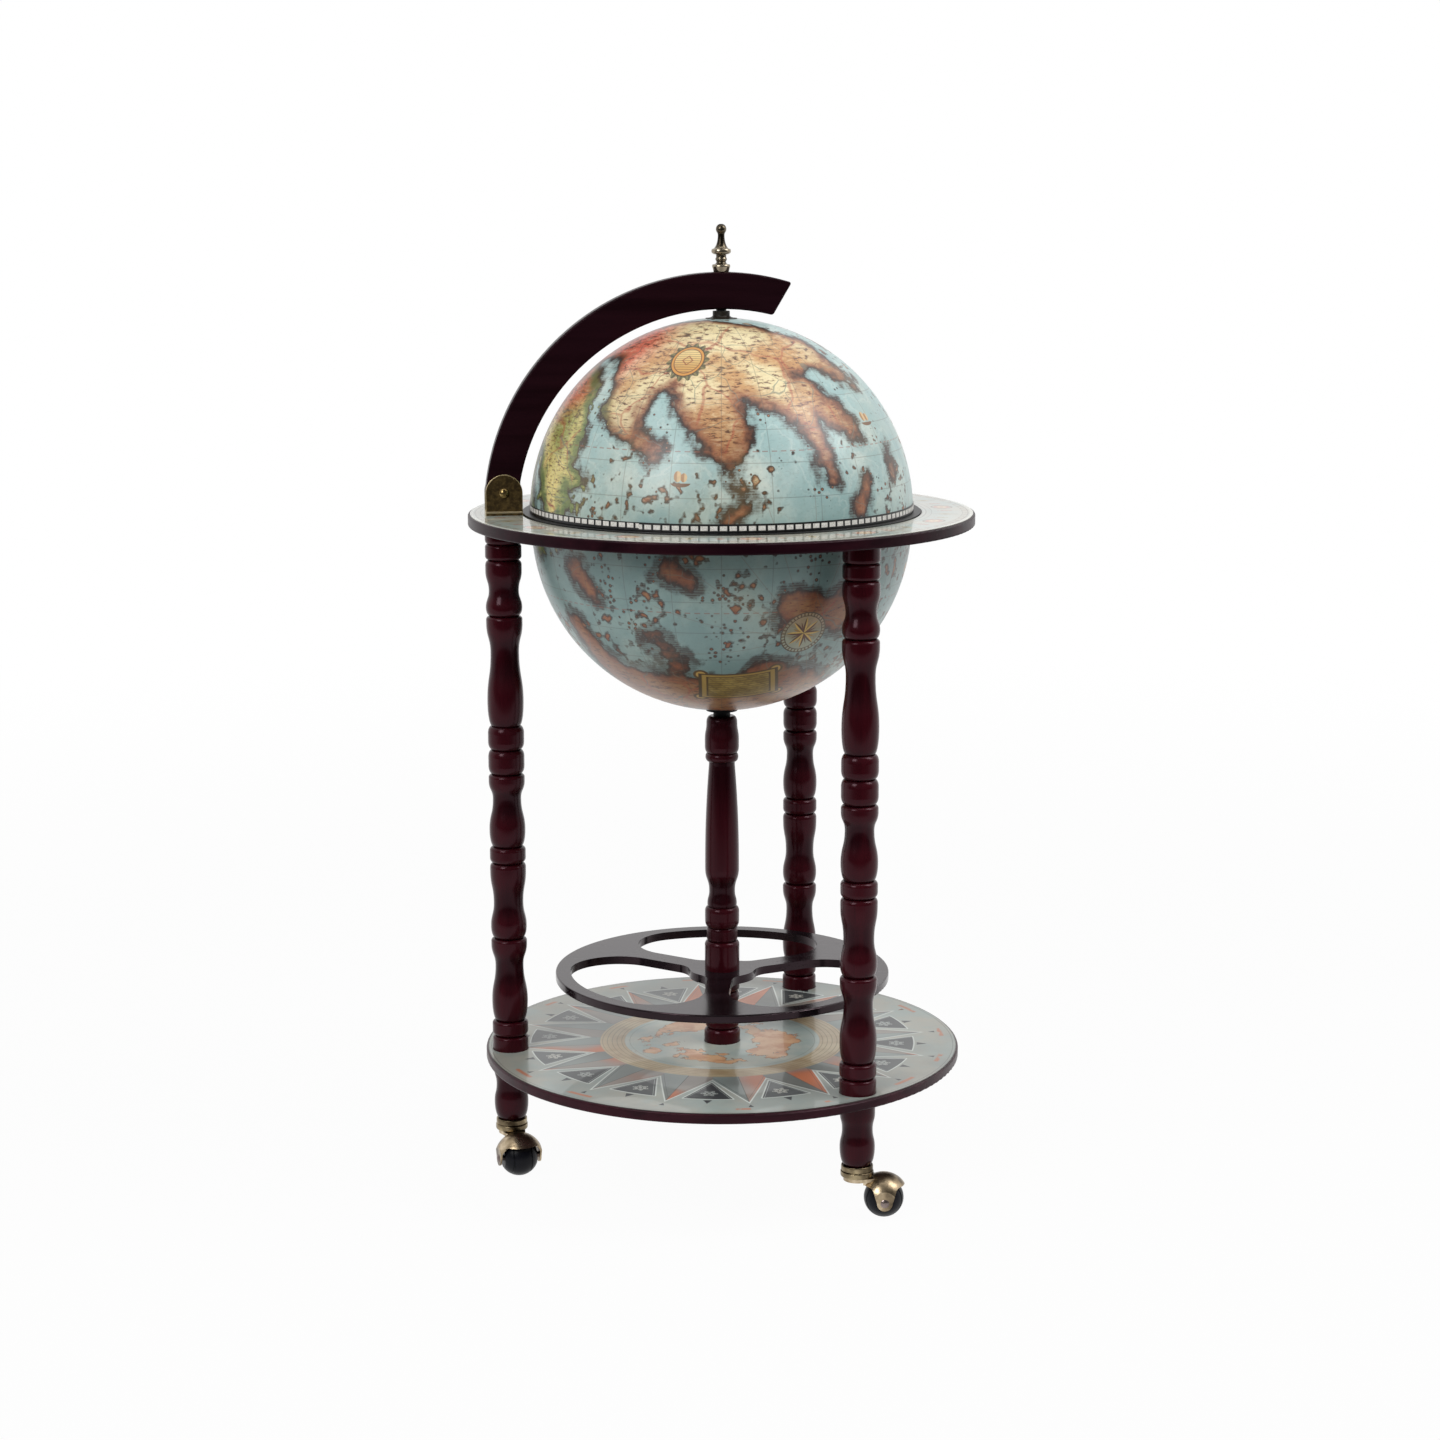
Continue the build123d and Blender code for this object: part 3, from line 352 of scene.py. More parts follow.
# Each land is a tongue from one (longitude, latitude) to another, with a half width at each end,
# all in degrees.
LANDS = [
    # the great northern land and its peninsulas
    ((-98, 60), (-62, 66), 13, 13), ((-62, 66), (-5, 62), 13, 17), ((-5, 62), (42, 60), 16, 12),
    ((-28, 50), (16, 48), 9, 10),
    ((-42, 52), (-36, 36), 11, 8), ((-36, 36), (-24, 25), 7, 4),
    ((-8, 46), (-2, 31), 11, 9), ((-2, 31), (6, 13), 8, 1.5),
    ((22, 50), (29, 38), 10, 7), ((29, 38), (34, 16), 5, 3), ((36, 42), (50, 29), 6, 3.5),
    ((46, 58), (60, 46), 8, 4),
    # the western coast, green and yellow
    ((-94, 36), (-88, 6), 11, 9), ((-82, 38), (-63, 23), 13, 12), ((-63, 23), (-57, 1), 10, 6),
    ((-58, 17), (-46, 13), 6, 2.5),
    # eastern and far lands
    ((118, 60), (160, 48), 14, 17), ((160, 48), (176, 26), 13, 6), ((176, 18), (196, -8), 7, 13),
    ((196, -8), (204, -34), 11, 4), ((226, 52), (250, 34), 11, 9), ((250, 34), (236, 6), 10, 8),
    ((236, 6), (244, -24), 11, 5),
    # larger islands
    ((3, 4), (9, 9), 2.6, 1.6), ((44, 6), (49, 15), 3, 1.4), ((62, 12), (64, 22), 2, 1.5),
    ((24, -22), (40, -25), 6, 7), ((-16, -12), (-9, -14), 3.6, 2.5), ((-48, -14), (-42, -20), 4, 2.5),
    ((66, 42), (70, 47), 2.5, 2), ((92, -4), (104, -14), 6, 4), ((128, 8), (138, 2), 4, 6),
    ((150, -28), (164, -24), 6, 4), ((284, 4), (290, -6), 3, 4), ((-24, -34), (-18, -42), 2.6, 3.6),
    # the southern land
    ((-58, -30), (-46, -56), 4, 11), ((-46, -56), (-10, -62), 13, 15), ((-10, -62), (40, -64), 15, 15),
    ((18, -48), (44, -58), 6, 10),
    ((90, -70), (200, -66), 15, 17), ((220, -64), (280, -66), 14, 12),
]
MELT = 0.05                      # how softly two tongues run together

# Drawings on the map: where their middles are, in degrees, and their sizes as shares of its radius.
COMPASSES = [((28, -31), 0.12), ((170, 4), 0.17)]
CARTOUCHE_AT, CARTOUCHE_SIZE = (-17, 55), 0.13
PANEL_AT, PANEL_SIZE, PANEL_TURN = (8, -53), 0.17, 0.12
SHIPS = [((-12, 14), 0.052), ((58, 30), 0.050), ((-56, -4), 0.050), ((80, -18), 0.055),
         ((150, 18), 0.060), ((212, 30), 0.060), ((276, 22), 0.055)]
GREEN_COAST_AT, ROSE_LAND_AT = (-74, 18), (-84, 54)
TROPIC = radians(23.4)
GRATICULE_WIDTH = 0.0042

SEA, SEA_PALE, SEA_DEEP = ink("#B1C8C5"), ink("#CBDAD4"), ink("#97B7B6")
LINE_INK, COAST_INK = ink("#5A5148"), ink("#2F201B")
BARK, RUST, OCHRE, STRAW = ink("#40241A"), ink("#8C5034"), ink("#C49764"), ink("#E2D3A6")


def land_depth(place):
    """Signed depth inside the nearest land, the tongues melted together."""
    depth = None
    for start, end, width_start, width_end in LANDS:
        a, b = spot(*start), spot(*end)
        run = b - a
        share = run / run.length_squared
        along = place.along(share)
        along = along.node("ShaderNodeMath", along, a.dot(share), operation="SUBTRACT", use_clamp=True)
        step = along.node("ShaderNodeVectorMath", tuple(run), None, None, along, operation="SCALE")
        far = place.vector("DISTANCE", step.vector("ADD", tuple(a)), output=1)
        width = along.math("MULTIPLY_ADD", radians(width_end - width_start), radians(width_start))
        inside = width - far
        depth = inside if depth is None else depth.math("SMOOTH_MAX", inside, MELT)
    return depth


def coasts(place):
    """Lands, isles and swarms of islets: the bent place, its shores' fray and the signed depth."""
    bend = place.noise(2.4, 3.0, 0.5, output=1).vector("SUBTRACT", (0.5, 0.5, 0.5))
    bent = place.vector("ADD", bend.scaled(0.26, 0.26, 0.26))
    fray = place.noise(11.0, 6.0, 0.62)
    depth = land_depth(bent) + (fray - 0.5) * 0.15
    isles = place.noise(21.0, 1.5, 0.4) - 0.645
    shoals = place.noise(3.2, 2.0, 0.5).step(0.44, 0.56)
    depth = depth.max(isles * 0.55 - (1.0 - shoals) * 0.13 + (fray - 0.5) * 0.05)
    open_sea = place.noise(4.3, 2.0, 0.5).step(0.60, 0.50)
    depth = depth.max((0.20 - place.cells(31.0)) * 0.35 - open_sea * 0.14 + (fray - 0.5) * 0.05)
    return bent, fray, depth


def sea_colour(place, shaded_south):
    """Mottled sea with fine dark strokes, greyer and darker in the lower half as painted shade under the
    ring.
    """
    mottle = place.noise(3.5, 5.0, 0.6)
    sea = mottle.step(0.30, 0.70).mix(SEA_DEEP, SEA)
    sea = mottle.step(0.50, 0.75).mix(sea, SEA_PALE)
    strokes = place.scaled(26, 26, 260).noise(1.0, 2.0, 0.5).step(0.66, 0.74)
    # painted shade: the sea in the lower half darkened, as in the ring's shadow
    sea = (shaded_south * 0.75).mix(sea, mottle.clouds(ink("#728E8C"), ink("#8AA6A2")))
    return (strokes * 0.45).mix(sea, ink("#4F6E70"))


def land_colour(place, bent, latitude, shaded_south, depth):
    """Straw and ochre inside, rust and bark towards the coast, with engraved hills and rivers."""
    hills = place.scaled(20, 20, 75).noise(1.0, 6.0, 0.66)
    region = place.noise(2.8, 4.0, 0.55)
    land = region.step(0.40, 0.60).mix(OCHRE, STRAW)
    # the lower half's land in rust tones: partly the print's own colours, partly darkened as painted shade
    land = (shaded_south * 0.80).mix(land, region.step(0.38, 0.62).mix(ink("#8C5030"), ink("#B97F3C")))
    west = place.distance(spot(*GREEN_COAST_AT)).step(0.62, 0.48)
    land = (west * 0.85).mix(land, region.step(0.40, 0.60).mix(ink("#8FA052"), ink("#E2D07C")))
    rose = place.distance(spot(*ROSE_LAND_AT)).step(0.50, 0.30)
    land = (rose * 0.90).mix(land, ink("#D2604F"))
    land = (latitude.step(0.80, 0.30) * (1.0 - west) * 0.45).mix(land, ink("#8A5236"))

    # hills: a pale side, fainter in the lower half as painted shade, and dark hatching
    land = (hills.step(0.46, 0.36) * (0.35 - shaded_south * 0.28)).mix(land, ink("#EADFBB"))
    land = (hills.step(0.50, 0.60) * 0.60).mix(land, RUST)
    land = (hills.step(0.54, 0.64) * 0.85).mix(land, BARK)

    # shores, borders and rivers
    shore = west.mix(RUST, ink("#4E7340"))
    land = (depth.step(0.095, 0.02) * 0.85).mix(land, shore)
    land = (depth.step(0.045, 0.0) * (1.0 - west * 0.6)).mix(land, BARK)
    borders = bent.cells(2.6, "DISTANCE_TO_EDGE").step(0.022, 0.006) * depth.step(0.04, 0.07)
    land = (borders * 0.5).mix(land, ink("#A8452F"))
    rivers = bent.scaled(1, 1, 1.6).cells(3.7, "DISTANCE_TO_EDGE").step(0.012, 0.004)
    return (rivers * depth.step(0.0, 0.02) * 0.6).mix(land, ink("#5E6B62"))


def land_and_sea(sea, land, latitude, shaded_south, fray, depth):
    """Land and sea joined at the coast line, with a ragged dark wash over the sea beside it."""
    hatch = (latitude * 460).math("SINE").step(-0.6, 0.8) * 0.25 + 0.75
    reach = depth + shaded_south * 0.022
    wash = reach.step(-0.042, -0.008) * (fray.step(0.32, 0.58) * 0.5 + 0.5) * hatch
    sea = (wash * 0.95).mix(sea, COAST_INK)
    sea = ((depth + 0.066).line(0.012) * (1.0 - shaded_south) * 0.22).mix(sea, ink("#DCE3DA"))
    colour = depth.step(-0.003, 0.003).mix(sea, land)
    return (depth.line(0.014) * 0.90).mix(colour, COAST_INK)


def add_graticule(colour, latitude, longitude):
    """Parallels each 10 degrees, meridians each 15, and a scale along the equator and the tropics."""
    width = GRATICULE_WIDTH
    parallels = latitude.repeat(pi / 18).line(width)
    meridians = (longitude.repeat(pi / 12) * latitude.math("COSINE")).line(width) * latitude.step(1.36, 1.30)
    equator = latitude.abs().line(width * 2.2) * longitude.repeat(pi / 90).step(0.006, 0.009)
    tropics = (latitude.abs() - TROPIC).line(width * 1.4) * longitude.repeat(pi / 60).step(0.009, 0.012)
    colour = (parallels.max(meridians) * 0.42).mix(colour, LINE_INK)
    return (equator.max(tropics) * 0.6).mix(colour, ink("#8C4A36"))


def flat_on(place, where, size, turn=0.0):
    """Flat coordinates on the map round a spot, in units of size, and the spot's own side."""
    centre = spot(*where)
    east = Vector((-centre.y, centre.x, 0)).normalized()
    north = centre.cross(east)
    east, north = east * cos(turn) + north * sin(turn), north * cos(turn) - east * sin(turn)
    u = place.along(east / size)
    v = place.along(north / size)
    near = place.along(centre).step(0.70, 0.72)
    return u, v, near


def length_of(u, v):
    return (u * u + v * v).math("SQRT")


def angle_of(u, v):
    return v.math("ARCTAN2", u)


def add_compass(colour, place, where, size):
    """A plain compass rose: two rings, a scale, a star of sixteen half dark rays and its rhumb lines."""
    u, v, near = flat_on(place, where, size)
    radius, angle = length_of(u, v), angle_of(u, v)
    rhumb = (angle.repeat(pi / 8) * radius).line(0.030) * radius.step(1.02, 1.10)
    colour = (near * rhumb * 0.40).mix(colour, ink("#7A5B45"))
    ray = (radius + angle.repeat(pi / 4) * 1.9).step(0.80, 0.76)
    half_ray = (radius + (angle + pi / 8).repeat(pi / 4) * 2.4).step(0.60, 0.56)
    dark_side = (angle * 4).math("SINE").step(-0.1, 0.1)
    colour = (near * radius.step(1.04, 1.00) * 0.55).mix(colour, ink("#C6BD9A"))
    rings = radius.line(0.05).max((radius - 1.0).line(0.05)).max((radius - 0.84).line(0.04))
    colour = (near * rings).mix(colour, ink("#4C4238"))
    ticks = angle.repeat(pi / 18).line(0.07) * radius.step(0.83, 0.85) * radius.step(1.01, 0.99)
    colour = (near * ticks).mix(colour, ink("#6A5238"))
    colour = (near * half_ray).mix(colour, dark_side.mix(ink("#A87F46"), ink("#6E4630")))
    return (near * ray).mix(colour, dark_side.mix(ink("#E2BE6C"), ink("#5B3A28")))


def add_cartouche(colour, place, where, size):
    """A blank oval cartouche with a gilt rim and a wreath of leaves."""
    u, v, near = flat_on(place, where, size)
    oval, angle = length_of(u / 0.72, v), angle_of(u / 0.72, v)
    leaves = (angle * 14).math("SINE") * 0.10 + 1.06
    wreath = near * (oval - leaves).step(0.03, 0.0)
    leaf_green = (angle * 28).math("SINE").step(-0.4, 0.6).mix(ink("#3A3D2A"), ink("#6F6B40"))
    colour = (wreath * 0.9).mix(colour, leaf_green)
    colour = (near * oval.step(0.93, 0.90)).mix(colour, ink("#43291C"))
    colour = (near * oval.step(0.88, 0.85)).mix(colour, ink("#C98F45"))
    colour = (near * oval.step(0.76, 0.74)).mix(colour, ink("#74452A"))
    within = near * oval.step(0.72, 0.69)
    colour = within.mix(colour, v.step(-0.6, 0.6).mix(ink("#C79A55"), ink("#E0C98C")))
    colour = (within * (v.repeat(0.13).line(0.05) * 0.55)).mix(colour, ink("#7A4E30"))
    knot = (u.abs() * 1.3 + v.abs() - 0.26).abs().step(0.06, 0.03)
    return (within * knot * 0.8).mix(colour, ink("#8A4327"))


def add_panel(colour, place, where, size, turn):
    """A blank panel on the southern land, with a double gilt border and corner discs."""
    u, v, near = flat_on(place, where, size, turn)
    side = (u.abs() / 1.15).max(v.abs() / 0.72)
    corner = length_of(u.abs() - 1.08, v.abs() - 0.66)
    colour = (near * corner.step(0.24, 0.21)).mix(colour, ink("#5A4425"))
    colour = (near * corner.step(0.16, 0.13)).mix(colour, ink("#C9A25A"))
    colour = (near * side.step(1.02, 0.99)).mix(colour, ink("#4B3A22"))
    colour = (near * side.step(0.93, 0.91)).mix(colour, ink("#B0904C"))
    colour = (near * side.step(0.82, 0.80)).mix(colour, ink("#57431F"))
    within = near * side.step(0.77, 0.75)
    colour = within.mix(colour, place.noise(14.0, 4.0, 0.6).clouds(ink("#8A7238"), ink("#B59B58")))
    engraving = (v.repeat(0.12).line(0.045)).max((u + v).repeat(0.35).line(0.05))
    return (within * engraving * 0.5).mix(colour, ink("#4E3A1E"))


def add_ship(colour, place, where, size):
    """A small sailing ship: a hull and two full sails."""
    u, v, near = flat_on(place, where, size)
    hull = length_of(u, (v - 0.1) / 0.42).step(1.0, 0.92) * v.step(0.12, 0.04)
    fore_sail = length_of((u - 0.30) / 0.34, (v - 0.62) / 0.46).step(1.0, 0.9)
    main_sail = length_of((u + 0.30) / 0.40, (v - 0.72) / 0.56).step(1.0, 0.9)
    canvas = (u * 9).math("SINE").step(-0.5, 0.7).mix(ink("#D8B98A"), ink("#A87B50"))
    colour = (near * fore_sail.max(main_sail)).mix(colour, canvas)
    return (near * hull).mix(colour, ink("#6B452C"))


def map_sphere(tree):
    """Place on the map's unit sphere, whose longitude 0 faces the camera's side."""
    object_place = Field(tree, tree.nodes.new("ShaderNodeTexCoord").outputs["Object"])
    turned = tree.nodes.new("ShaderNodeVectorRotate")
    turned.rotation_type = "Z_AXIS"
    turned.inputs["Angle"].default_value = radians(-FRONT)
    feed(tree, turned.inputs["Vector"], object_place.vector("SUBTRACT", tuple(globe_centre)))
    return Field(tree, turned.outputs[0]).vector("NORMALIZE")


def globe_map():
    """Node group with the map's colour and the paper's relief."""
    tree = bpy.data.node_groups.new("globe_map", "ShaderNodeTree")
    for name, kind in (("Color", "NodeSocketColor"), ("Ink", "NodeSocketFloat")):
        tree.interface.new_socket(name, in_out="OUTPUT", socket_type=kind)
    place = map_sphere(tree)
    x, y, height = place.parts()
    latitude = height.math("ARCSINE")
    longitude = y.math("ARCTAN2", x)
    # the lower half: darkened in sea and land as painted shade under the ring, and with a wider coastal wash
    shaded_south = latitude.step(0.30, -0.10)

    bent, fray, depth = coasts(place)
    sea = sea_colour(place, shaded_south)
    land = land_colour(place, bent, latitude, shaded_south, depth)
    colour = land_and_sea(sea, land, latitude, shaded_south, fray, depth)
    colour = add_graticule(colour, latitude, longitude)
    for where, size in SHIPS:
        colour = add_ship(colour, place, where, size)
    for where, size in COMPASSES:
        colour = add_compass(colour, place, where, size)
    colour = add_cartouche(colour, place, CARTOUCHE_AT, CARTOUCHE_SIZE)
    colour = add_panel(colour, place, PANEL_AT, PANEL_SIZE, PANEL_TURN)

    # aged paper: brownish clouds and fine mottling over everything
    age = place.noise(1.7, 6.0, 0.65)
    fibre = place.noise(60.0, 3.0, 0.6)
    colour = (age.step(0.45, 0.75) * 0.16).mix(colour, ink("#C9B27E"))
    colour = (fibre.step(0.50, 0.75) * 0.18).mix(colour, ink("#6E6250"))

    out = tree.nodes.new("NodeGroupOutput")
    feed(tree, out.inputs["Color"], colour)
    feed(tree, out.inputs["Ink"], fibre)
    return tree


def map_print(name, drawing, centre, radius):
    """Printed half shell under satin varnish, its inside lined with plain aged paper."""
    finish = Finish(name, coat=0.5, coat_rough=0.30, specular=0.4)
    group = finish.tree.nodes.new("ShaderNodeGroup")
    group.node_tree = drawing
    lining = finish.place.noise(14, 5.0, 0.6).step(0.30, 0.70).mix(ink("#BFA77E"), ink("#D9C8A2"))
    within = finish.place.distance(centre).step(radius - 1.0 * MM, radius - 1.4 * MM)
    finish.set(color=within.mix(Field(finish.tree, group.outputs["Color"]), lining),
               rough=finish.place.noise(30, 3.0) * 0.12 + 0.36)
    finish.bump(Field(finish.tree, group.outputs["Ink"]), 0.02 * MM)
    return finish.material


# ---------------------------------------------------------------- the two round sheets, radii in millimetres
SHEET, SHEET_WARM = ink("#A6B4AF"), ink("#B7B4A6")
SLATE, COPPER, CHALK = ink("#25292C"), ink("#B8683F"), ink("#D0D6D0")

RING_MIDDLE = 199
RING_LINES = [(181.5, 0.9), (186.5, 0.5), (213.5, 0.5), (218.5, 0.8)]    # radius and width
RING_MARGIN = 220
PANELS = 12

RAYS = 16
DISC_EDGE, RAYS_START, RAY_TIP = 89.5, 112, 187
PANE_TIP, ROSETTE_MIDDLE, PANE_BASE, ARROW_TIP = 128, 160, 176, 188
RAY_SLOPE, PANE_SLOPE, ARROW_SLOPE = 0.37, 0.47, 0.42      # half width to length
MARGIN_TIP, DASHES_AT, MARGIN_LINE, SHELF_BORDER = 192, 203, 211.5, 214


def sheet_ground(place):
    """Pale printed paper: cool and warm clouds with fine fibres."""
    fibre = place.noise(900, 3.0, 0.6)
    colour = place.noise(22, 4.0, 0.6).clouds(SHEET, SHEET_WARM)
    return (fibre.step(0.55, 0.80) * 0.12).mix(colour, ink("#7F8880"))


def from_axis(place):
    """Radius in millimetres and angle round the vertical axis."""
    x, y, _ = place.parts()
    return length_of(x, y) / MM, angle_of(x, y)


def add_wreaths(colour, radius, angle, warm):
    """A wreath in the middle of each of the ring's panels."""
    across, up = angle.repeat(2 * pi / PANELS) * radius, radius - RING_MIDDLE
    wreath = length_of(across / 13, up / 10)
    turn = up.math("ARCTAN2", across)
    colour = ((wreath - 0.9).line(0.16) * 0.8).mix(colour, ink("#6E5B42"))
    leaves = (wreath - (turn * 9).math("SINE") * 0.09 - 0.74).step(0.03, -0.03)
    colour = (leaves * 0.75).mix(colour, warm)
    colour = (wreath.step(0.46, 0.42) * 0.8).mix(colour, ink("#D9CDA4"))
    return (wreath.line(0.30) * 0.8).mix(colour, ink("#8A5136"))


def add_knots(colour, radius, angle, tint):
    """A knot between two of the ring's panels, and a sprig on each side of it."""
    up = radius - RING_MIDDLE
    across = (angle + pi / PANELS).repeat(2 * pi / PANELS) * radius
    knot = (across / 7 + up.abs() / 12)
    colour = ((knot - 0.95).line(0.14) * 0.8).mix(colour, ink("#75603F"))
    colour = (knot.step(0.62, 0.56) * 0.7).mix(colour, ink("#B9A05E"))
    colour = (knot.step(0.30, 0.22) * 0.9).mix(colour, ink("#5E4A38"))
    spray = (angle + pi / PANELS / 2).repeat(pi / PANELS) * radius
    sprig = (length_of(spray / 3.2, up / 6.5) - (up * 1.6).math("SINE") * 0.25).step(1.0, 0.9)
    return (sprig * 0.65).mix(colour, tint.step(0.44, 0.56).mix(ink("#8D9068"), ink("#B0705A")))


def add_ring_borders(colour, radius, angle):
    """Fine lines, a scale of dark and light steps between the outer two, and a pale margin."""
    lines = None
    for at, width in RING_LINES:
        line = (radius - at).line(width)
        lines = line if lines is None else lines.max(line)
    colour = (lines * 0.75).mix(colour, ink("#5D554A"))
    scale_start, scale_end = RING_LINES[2][0] + 0.1, RING_LINES[3][0] - 0.1
    steps = (angle * 90).math("SINE").step(-0.1, 0.1)
    steps = steps * radius.step(scale_start, scale_start + 0.4) * radius.step(scale_end, scale_end - 0.4)
    colour = (steps * 0.45).mix(colour, ink("#8A6A4A"))
    return (radius.step(RING_MARGIN, RING_MARGIN + 0.6) * 0.7).mix(colour, ink("#DAD9CE"))


def ring_chart():
    """The ring's print: twelve framed panels of wreaths and knots between graduated borders."""
    finish = Finish("map_sheet", coat=0.7, coat_rough=0.05, specular=0.5)
    radius, angle = from_axis(finish.place)
    colour = sheet_ground(finish.place)
    tint = finish.place.noise(14, 2.0)
    warm = tint.step(0.46, 0.54).mix(ink("#C58A54"), ink("#C4725A"))
    colour = add_wreaths(colour, radius, angle, warm)
    colour = add_knots(colour, radius, angle, tint)
    colour = add_ring_borders(colour, radius, angle)
    finish.set(color=colour, rough=finish.place.noise(40, 3.0) * 0.10 + 0.32)
    finish.bump(finish.place.noise(700, 2.0), 0.01 * MM)
    return finish.material


def add_rays(colour, radius, angle, tone):
    """Sixteen rays, half copper and half grey, edged in white."""
    across = angle.repeat(2 * pi / RAYS) * radius
    gap = across - (RAY_TIP - radius) * RAY_SLOPE
    outside = radius.step(RAYS_START - 0.5, RAYS_START)
    side = (angle * RAYS).math("SINE").step(-0.05, 0.05)
    cold = tone.clouds(ink("#8A9491"), ink("#656863"))
    hot = tone.step(0.47, 0.58).mix(ink("#8F8880"), COPPER)
    colour = (gap.step(0.3, -0.3) * outside).mix(colour, side.mix(cold, hot))
    colour = ((gap + 3.6).line(0.5) * outside * 0.6).mix(colour, SLATE)
    spine = across.line(0.7) * radius.step(RAY_TIP - 1, RAY_TIP - 2)
    colour = (spine * outside * 0.7).mix(colour, SLATE)
    edge = gap.line(1.4) * radius.step(RAY_TIP + 3, RAY_TIP + 2)
    return (edge * outside).mix(colour, CHALK)


def add_panes(colour, radius, across, tone):
    """Dark three-sided panes between the rays, edged in white."""
    pane = across - (radius - PANE_TIP) * PANE_SLOPE
    inside = radius.step(PANE_BASE + 0.3, PANE_BASE - 0.3)
    colour = (pane.step(0.3, -0.3) * inside).mix(colour, tone.step(0.3, 0.7).mix(SLATE, ink("#464B4C")))
    colour = ((pane + 2.4).line(0.5) * inside * 0.55).mix(colour, CHALK)
    colour = (pane.line(1.3) * inside * radius.step(PANE_TIP - 2, PANE_TIP)).mix(colour, CHALK)
    return ((radius - PANE_BASE).line(1.2) * pane.step(0.4, -0.4)).mix(colour, CHALK)


def add_rosettes(colour, radius, across, tone):
    """A rosette of six petals in each pane, and a small arrow outside it."""
    up = radius - ROSETTE_MIDDLE
    bloom, turn = length_of(across, up), up.math("ARCTAN2", across)
    petals = bloom - (turn * 6).math("COSINE") * 1.5 - 6.2
    colour = petals.step(0.4, -0.4).mix(colour, tone.step(0.4, 0.6).mix(ink("#9CA29E"), ink("#BBBBB2")))
    colour = (petals + 1.4).line(0.8).mix(colour, SLATE)
    colour = (bloom - 2.2).line(1.0).mix(colour, SLATE)
    arrow = across - (ARROW_TIP - radius) * ARROW_SLOPE
    arrow_base = radius.step(PANE_BASE + 2.3, PANE_BASE + 2.8)
    return (arrow.step(0.2, -0.2) * arrow_base).mix(colour, SLATE)


def add_disc(colour, place, radius):
    """Gilt rings round the middle disc, and the disc's drifting isles."""
    ringed = radius.step(DISC_EDGE, DISC_EDGE + 0.5) * radius.step(RAYS_START + 0.5, RAYS_START)
    gilt = place.noise(30, 4.0).clouds(ink("#A98D66"), ink("#C5B28C"))
    colour = (ringed * 0.9).mix(colour, gilt)
    colour = (ringed * radius.repeat(4.4).line(0.7) * 0.6).mix(colour, ink("#6F5F48"))
    disc = radius.step(DISC_EDGE, DISC_EDGE - 0.5)
    colour = disc.mix(colour, place.noise(18, 4.0).clouds(ink("#9DAEAA"), ink("#BDBFB3")))
    drift = place.noise(21, 5.0, 0.6) + radius.step(20, 45) * radius.step(84, 66) * 0.16
    isle = disc * drift.step(0.640, 0.655)
    colour = isle.mix(colour, place.noise(60, 3.0).step(0.4, 0.6).mix(ink("#C58E68"), ink("#D8AE86")))
    colour = (disc * (drift - 0.647).line(0.016) * 0.7).mix(colour, ink("#7A5F4C"))
    return ((radius - (DISC_EDGE - 4.5)).line(0.6) * 0.6).mix(colour, ink("#77776C"))


def add_margin(colour, place, radius, angle, tone):
    """Little arrows and copper dashes in the shelf's outer margin, a fine line and a dark border."""
    by_ray = angle.repeat(2 * pi / RAYS)
    worn = place.noise(40, 2.0).step(0.45, 0.5)
    dashes = (radius - DASHES_AT).line(4.0) * by_ray.step(0.075, 0.062) * worn
    colour = (dashes * 0.8).mix(colour, COPPER)
    point = by_ray * radius - (radius - MARGIN_TIP) * 0.4
    point_base = radius.step(MARGIN_TIP + 6.5, MARGIN_TIP + 6)
    colour = (point.step(0.2, -0.2) * point_base).mix(colour, tone.step(0.4, 0.5).mix(COPPER, SLATE))
    colour = ((radius - MARGIN_LINE).line(0.7) * 0.5).mix(colour, SLATE)
    return radius.step(SHELF_BORDER - 0.4, SHELF_BORDER).mix(colour, ink("#3E3A36"))


def shelf_chart():
    """The shelf's print: a star of sixteen rays round a plain disc, dark panes with rosettes between."""
    finish = Finish("chart_sheet", coat=0.34, coat_rough=0.03, specular=0.35)
    place = finish.place
    radius, angle = from_axis(place)
    greyed = place.noise(7, 5.0, 0.6).step(0.35, 0.65) * 0.45 + 0.20
    colour = greyed.mix(sheet_ground(place), ink("#7E827E"))
    tone = place.noise(9, 1.0)
    between_rays = (angle + pi / RAYS).repeat(2 * pi / RAYS) * radius
    colour = add_rays(colour, radius, angle, tone)
    colour = add_panes(colour, radius, between_rays, tone)
    colour = add_rosettes(colour, radius, between_rays, tone)
    colour = add_disc(colour, place, radius)
    colour = add_margin(colour, place, radius, angle, tone)
    finish.set(color=colour, rough=place.noise(40, 3.0) * 0.08 + 0.30)
    finish.bump(place.noise(600, 2.0), 0.01 * MM)
    return finish.material


# ---------------------------------------------------------------- the band round the dome's foot
BLOCKS = 132
BLOCK_WIDTH, BLOCK_HEIGHT = 6.1, 3.9         # millimetres, as the next two
BLOCK_RISE = 3.3                 # from the band's foot to the blocks' middle, where a turn starts
BAND_SKEW = 0.9                  # how much higher the blocks are after one turn
SEAM = radians(FRONT - 24)


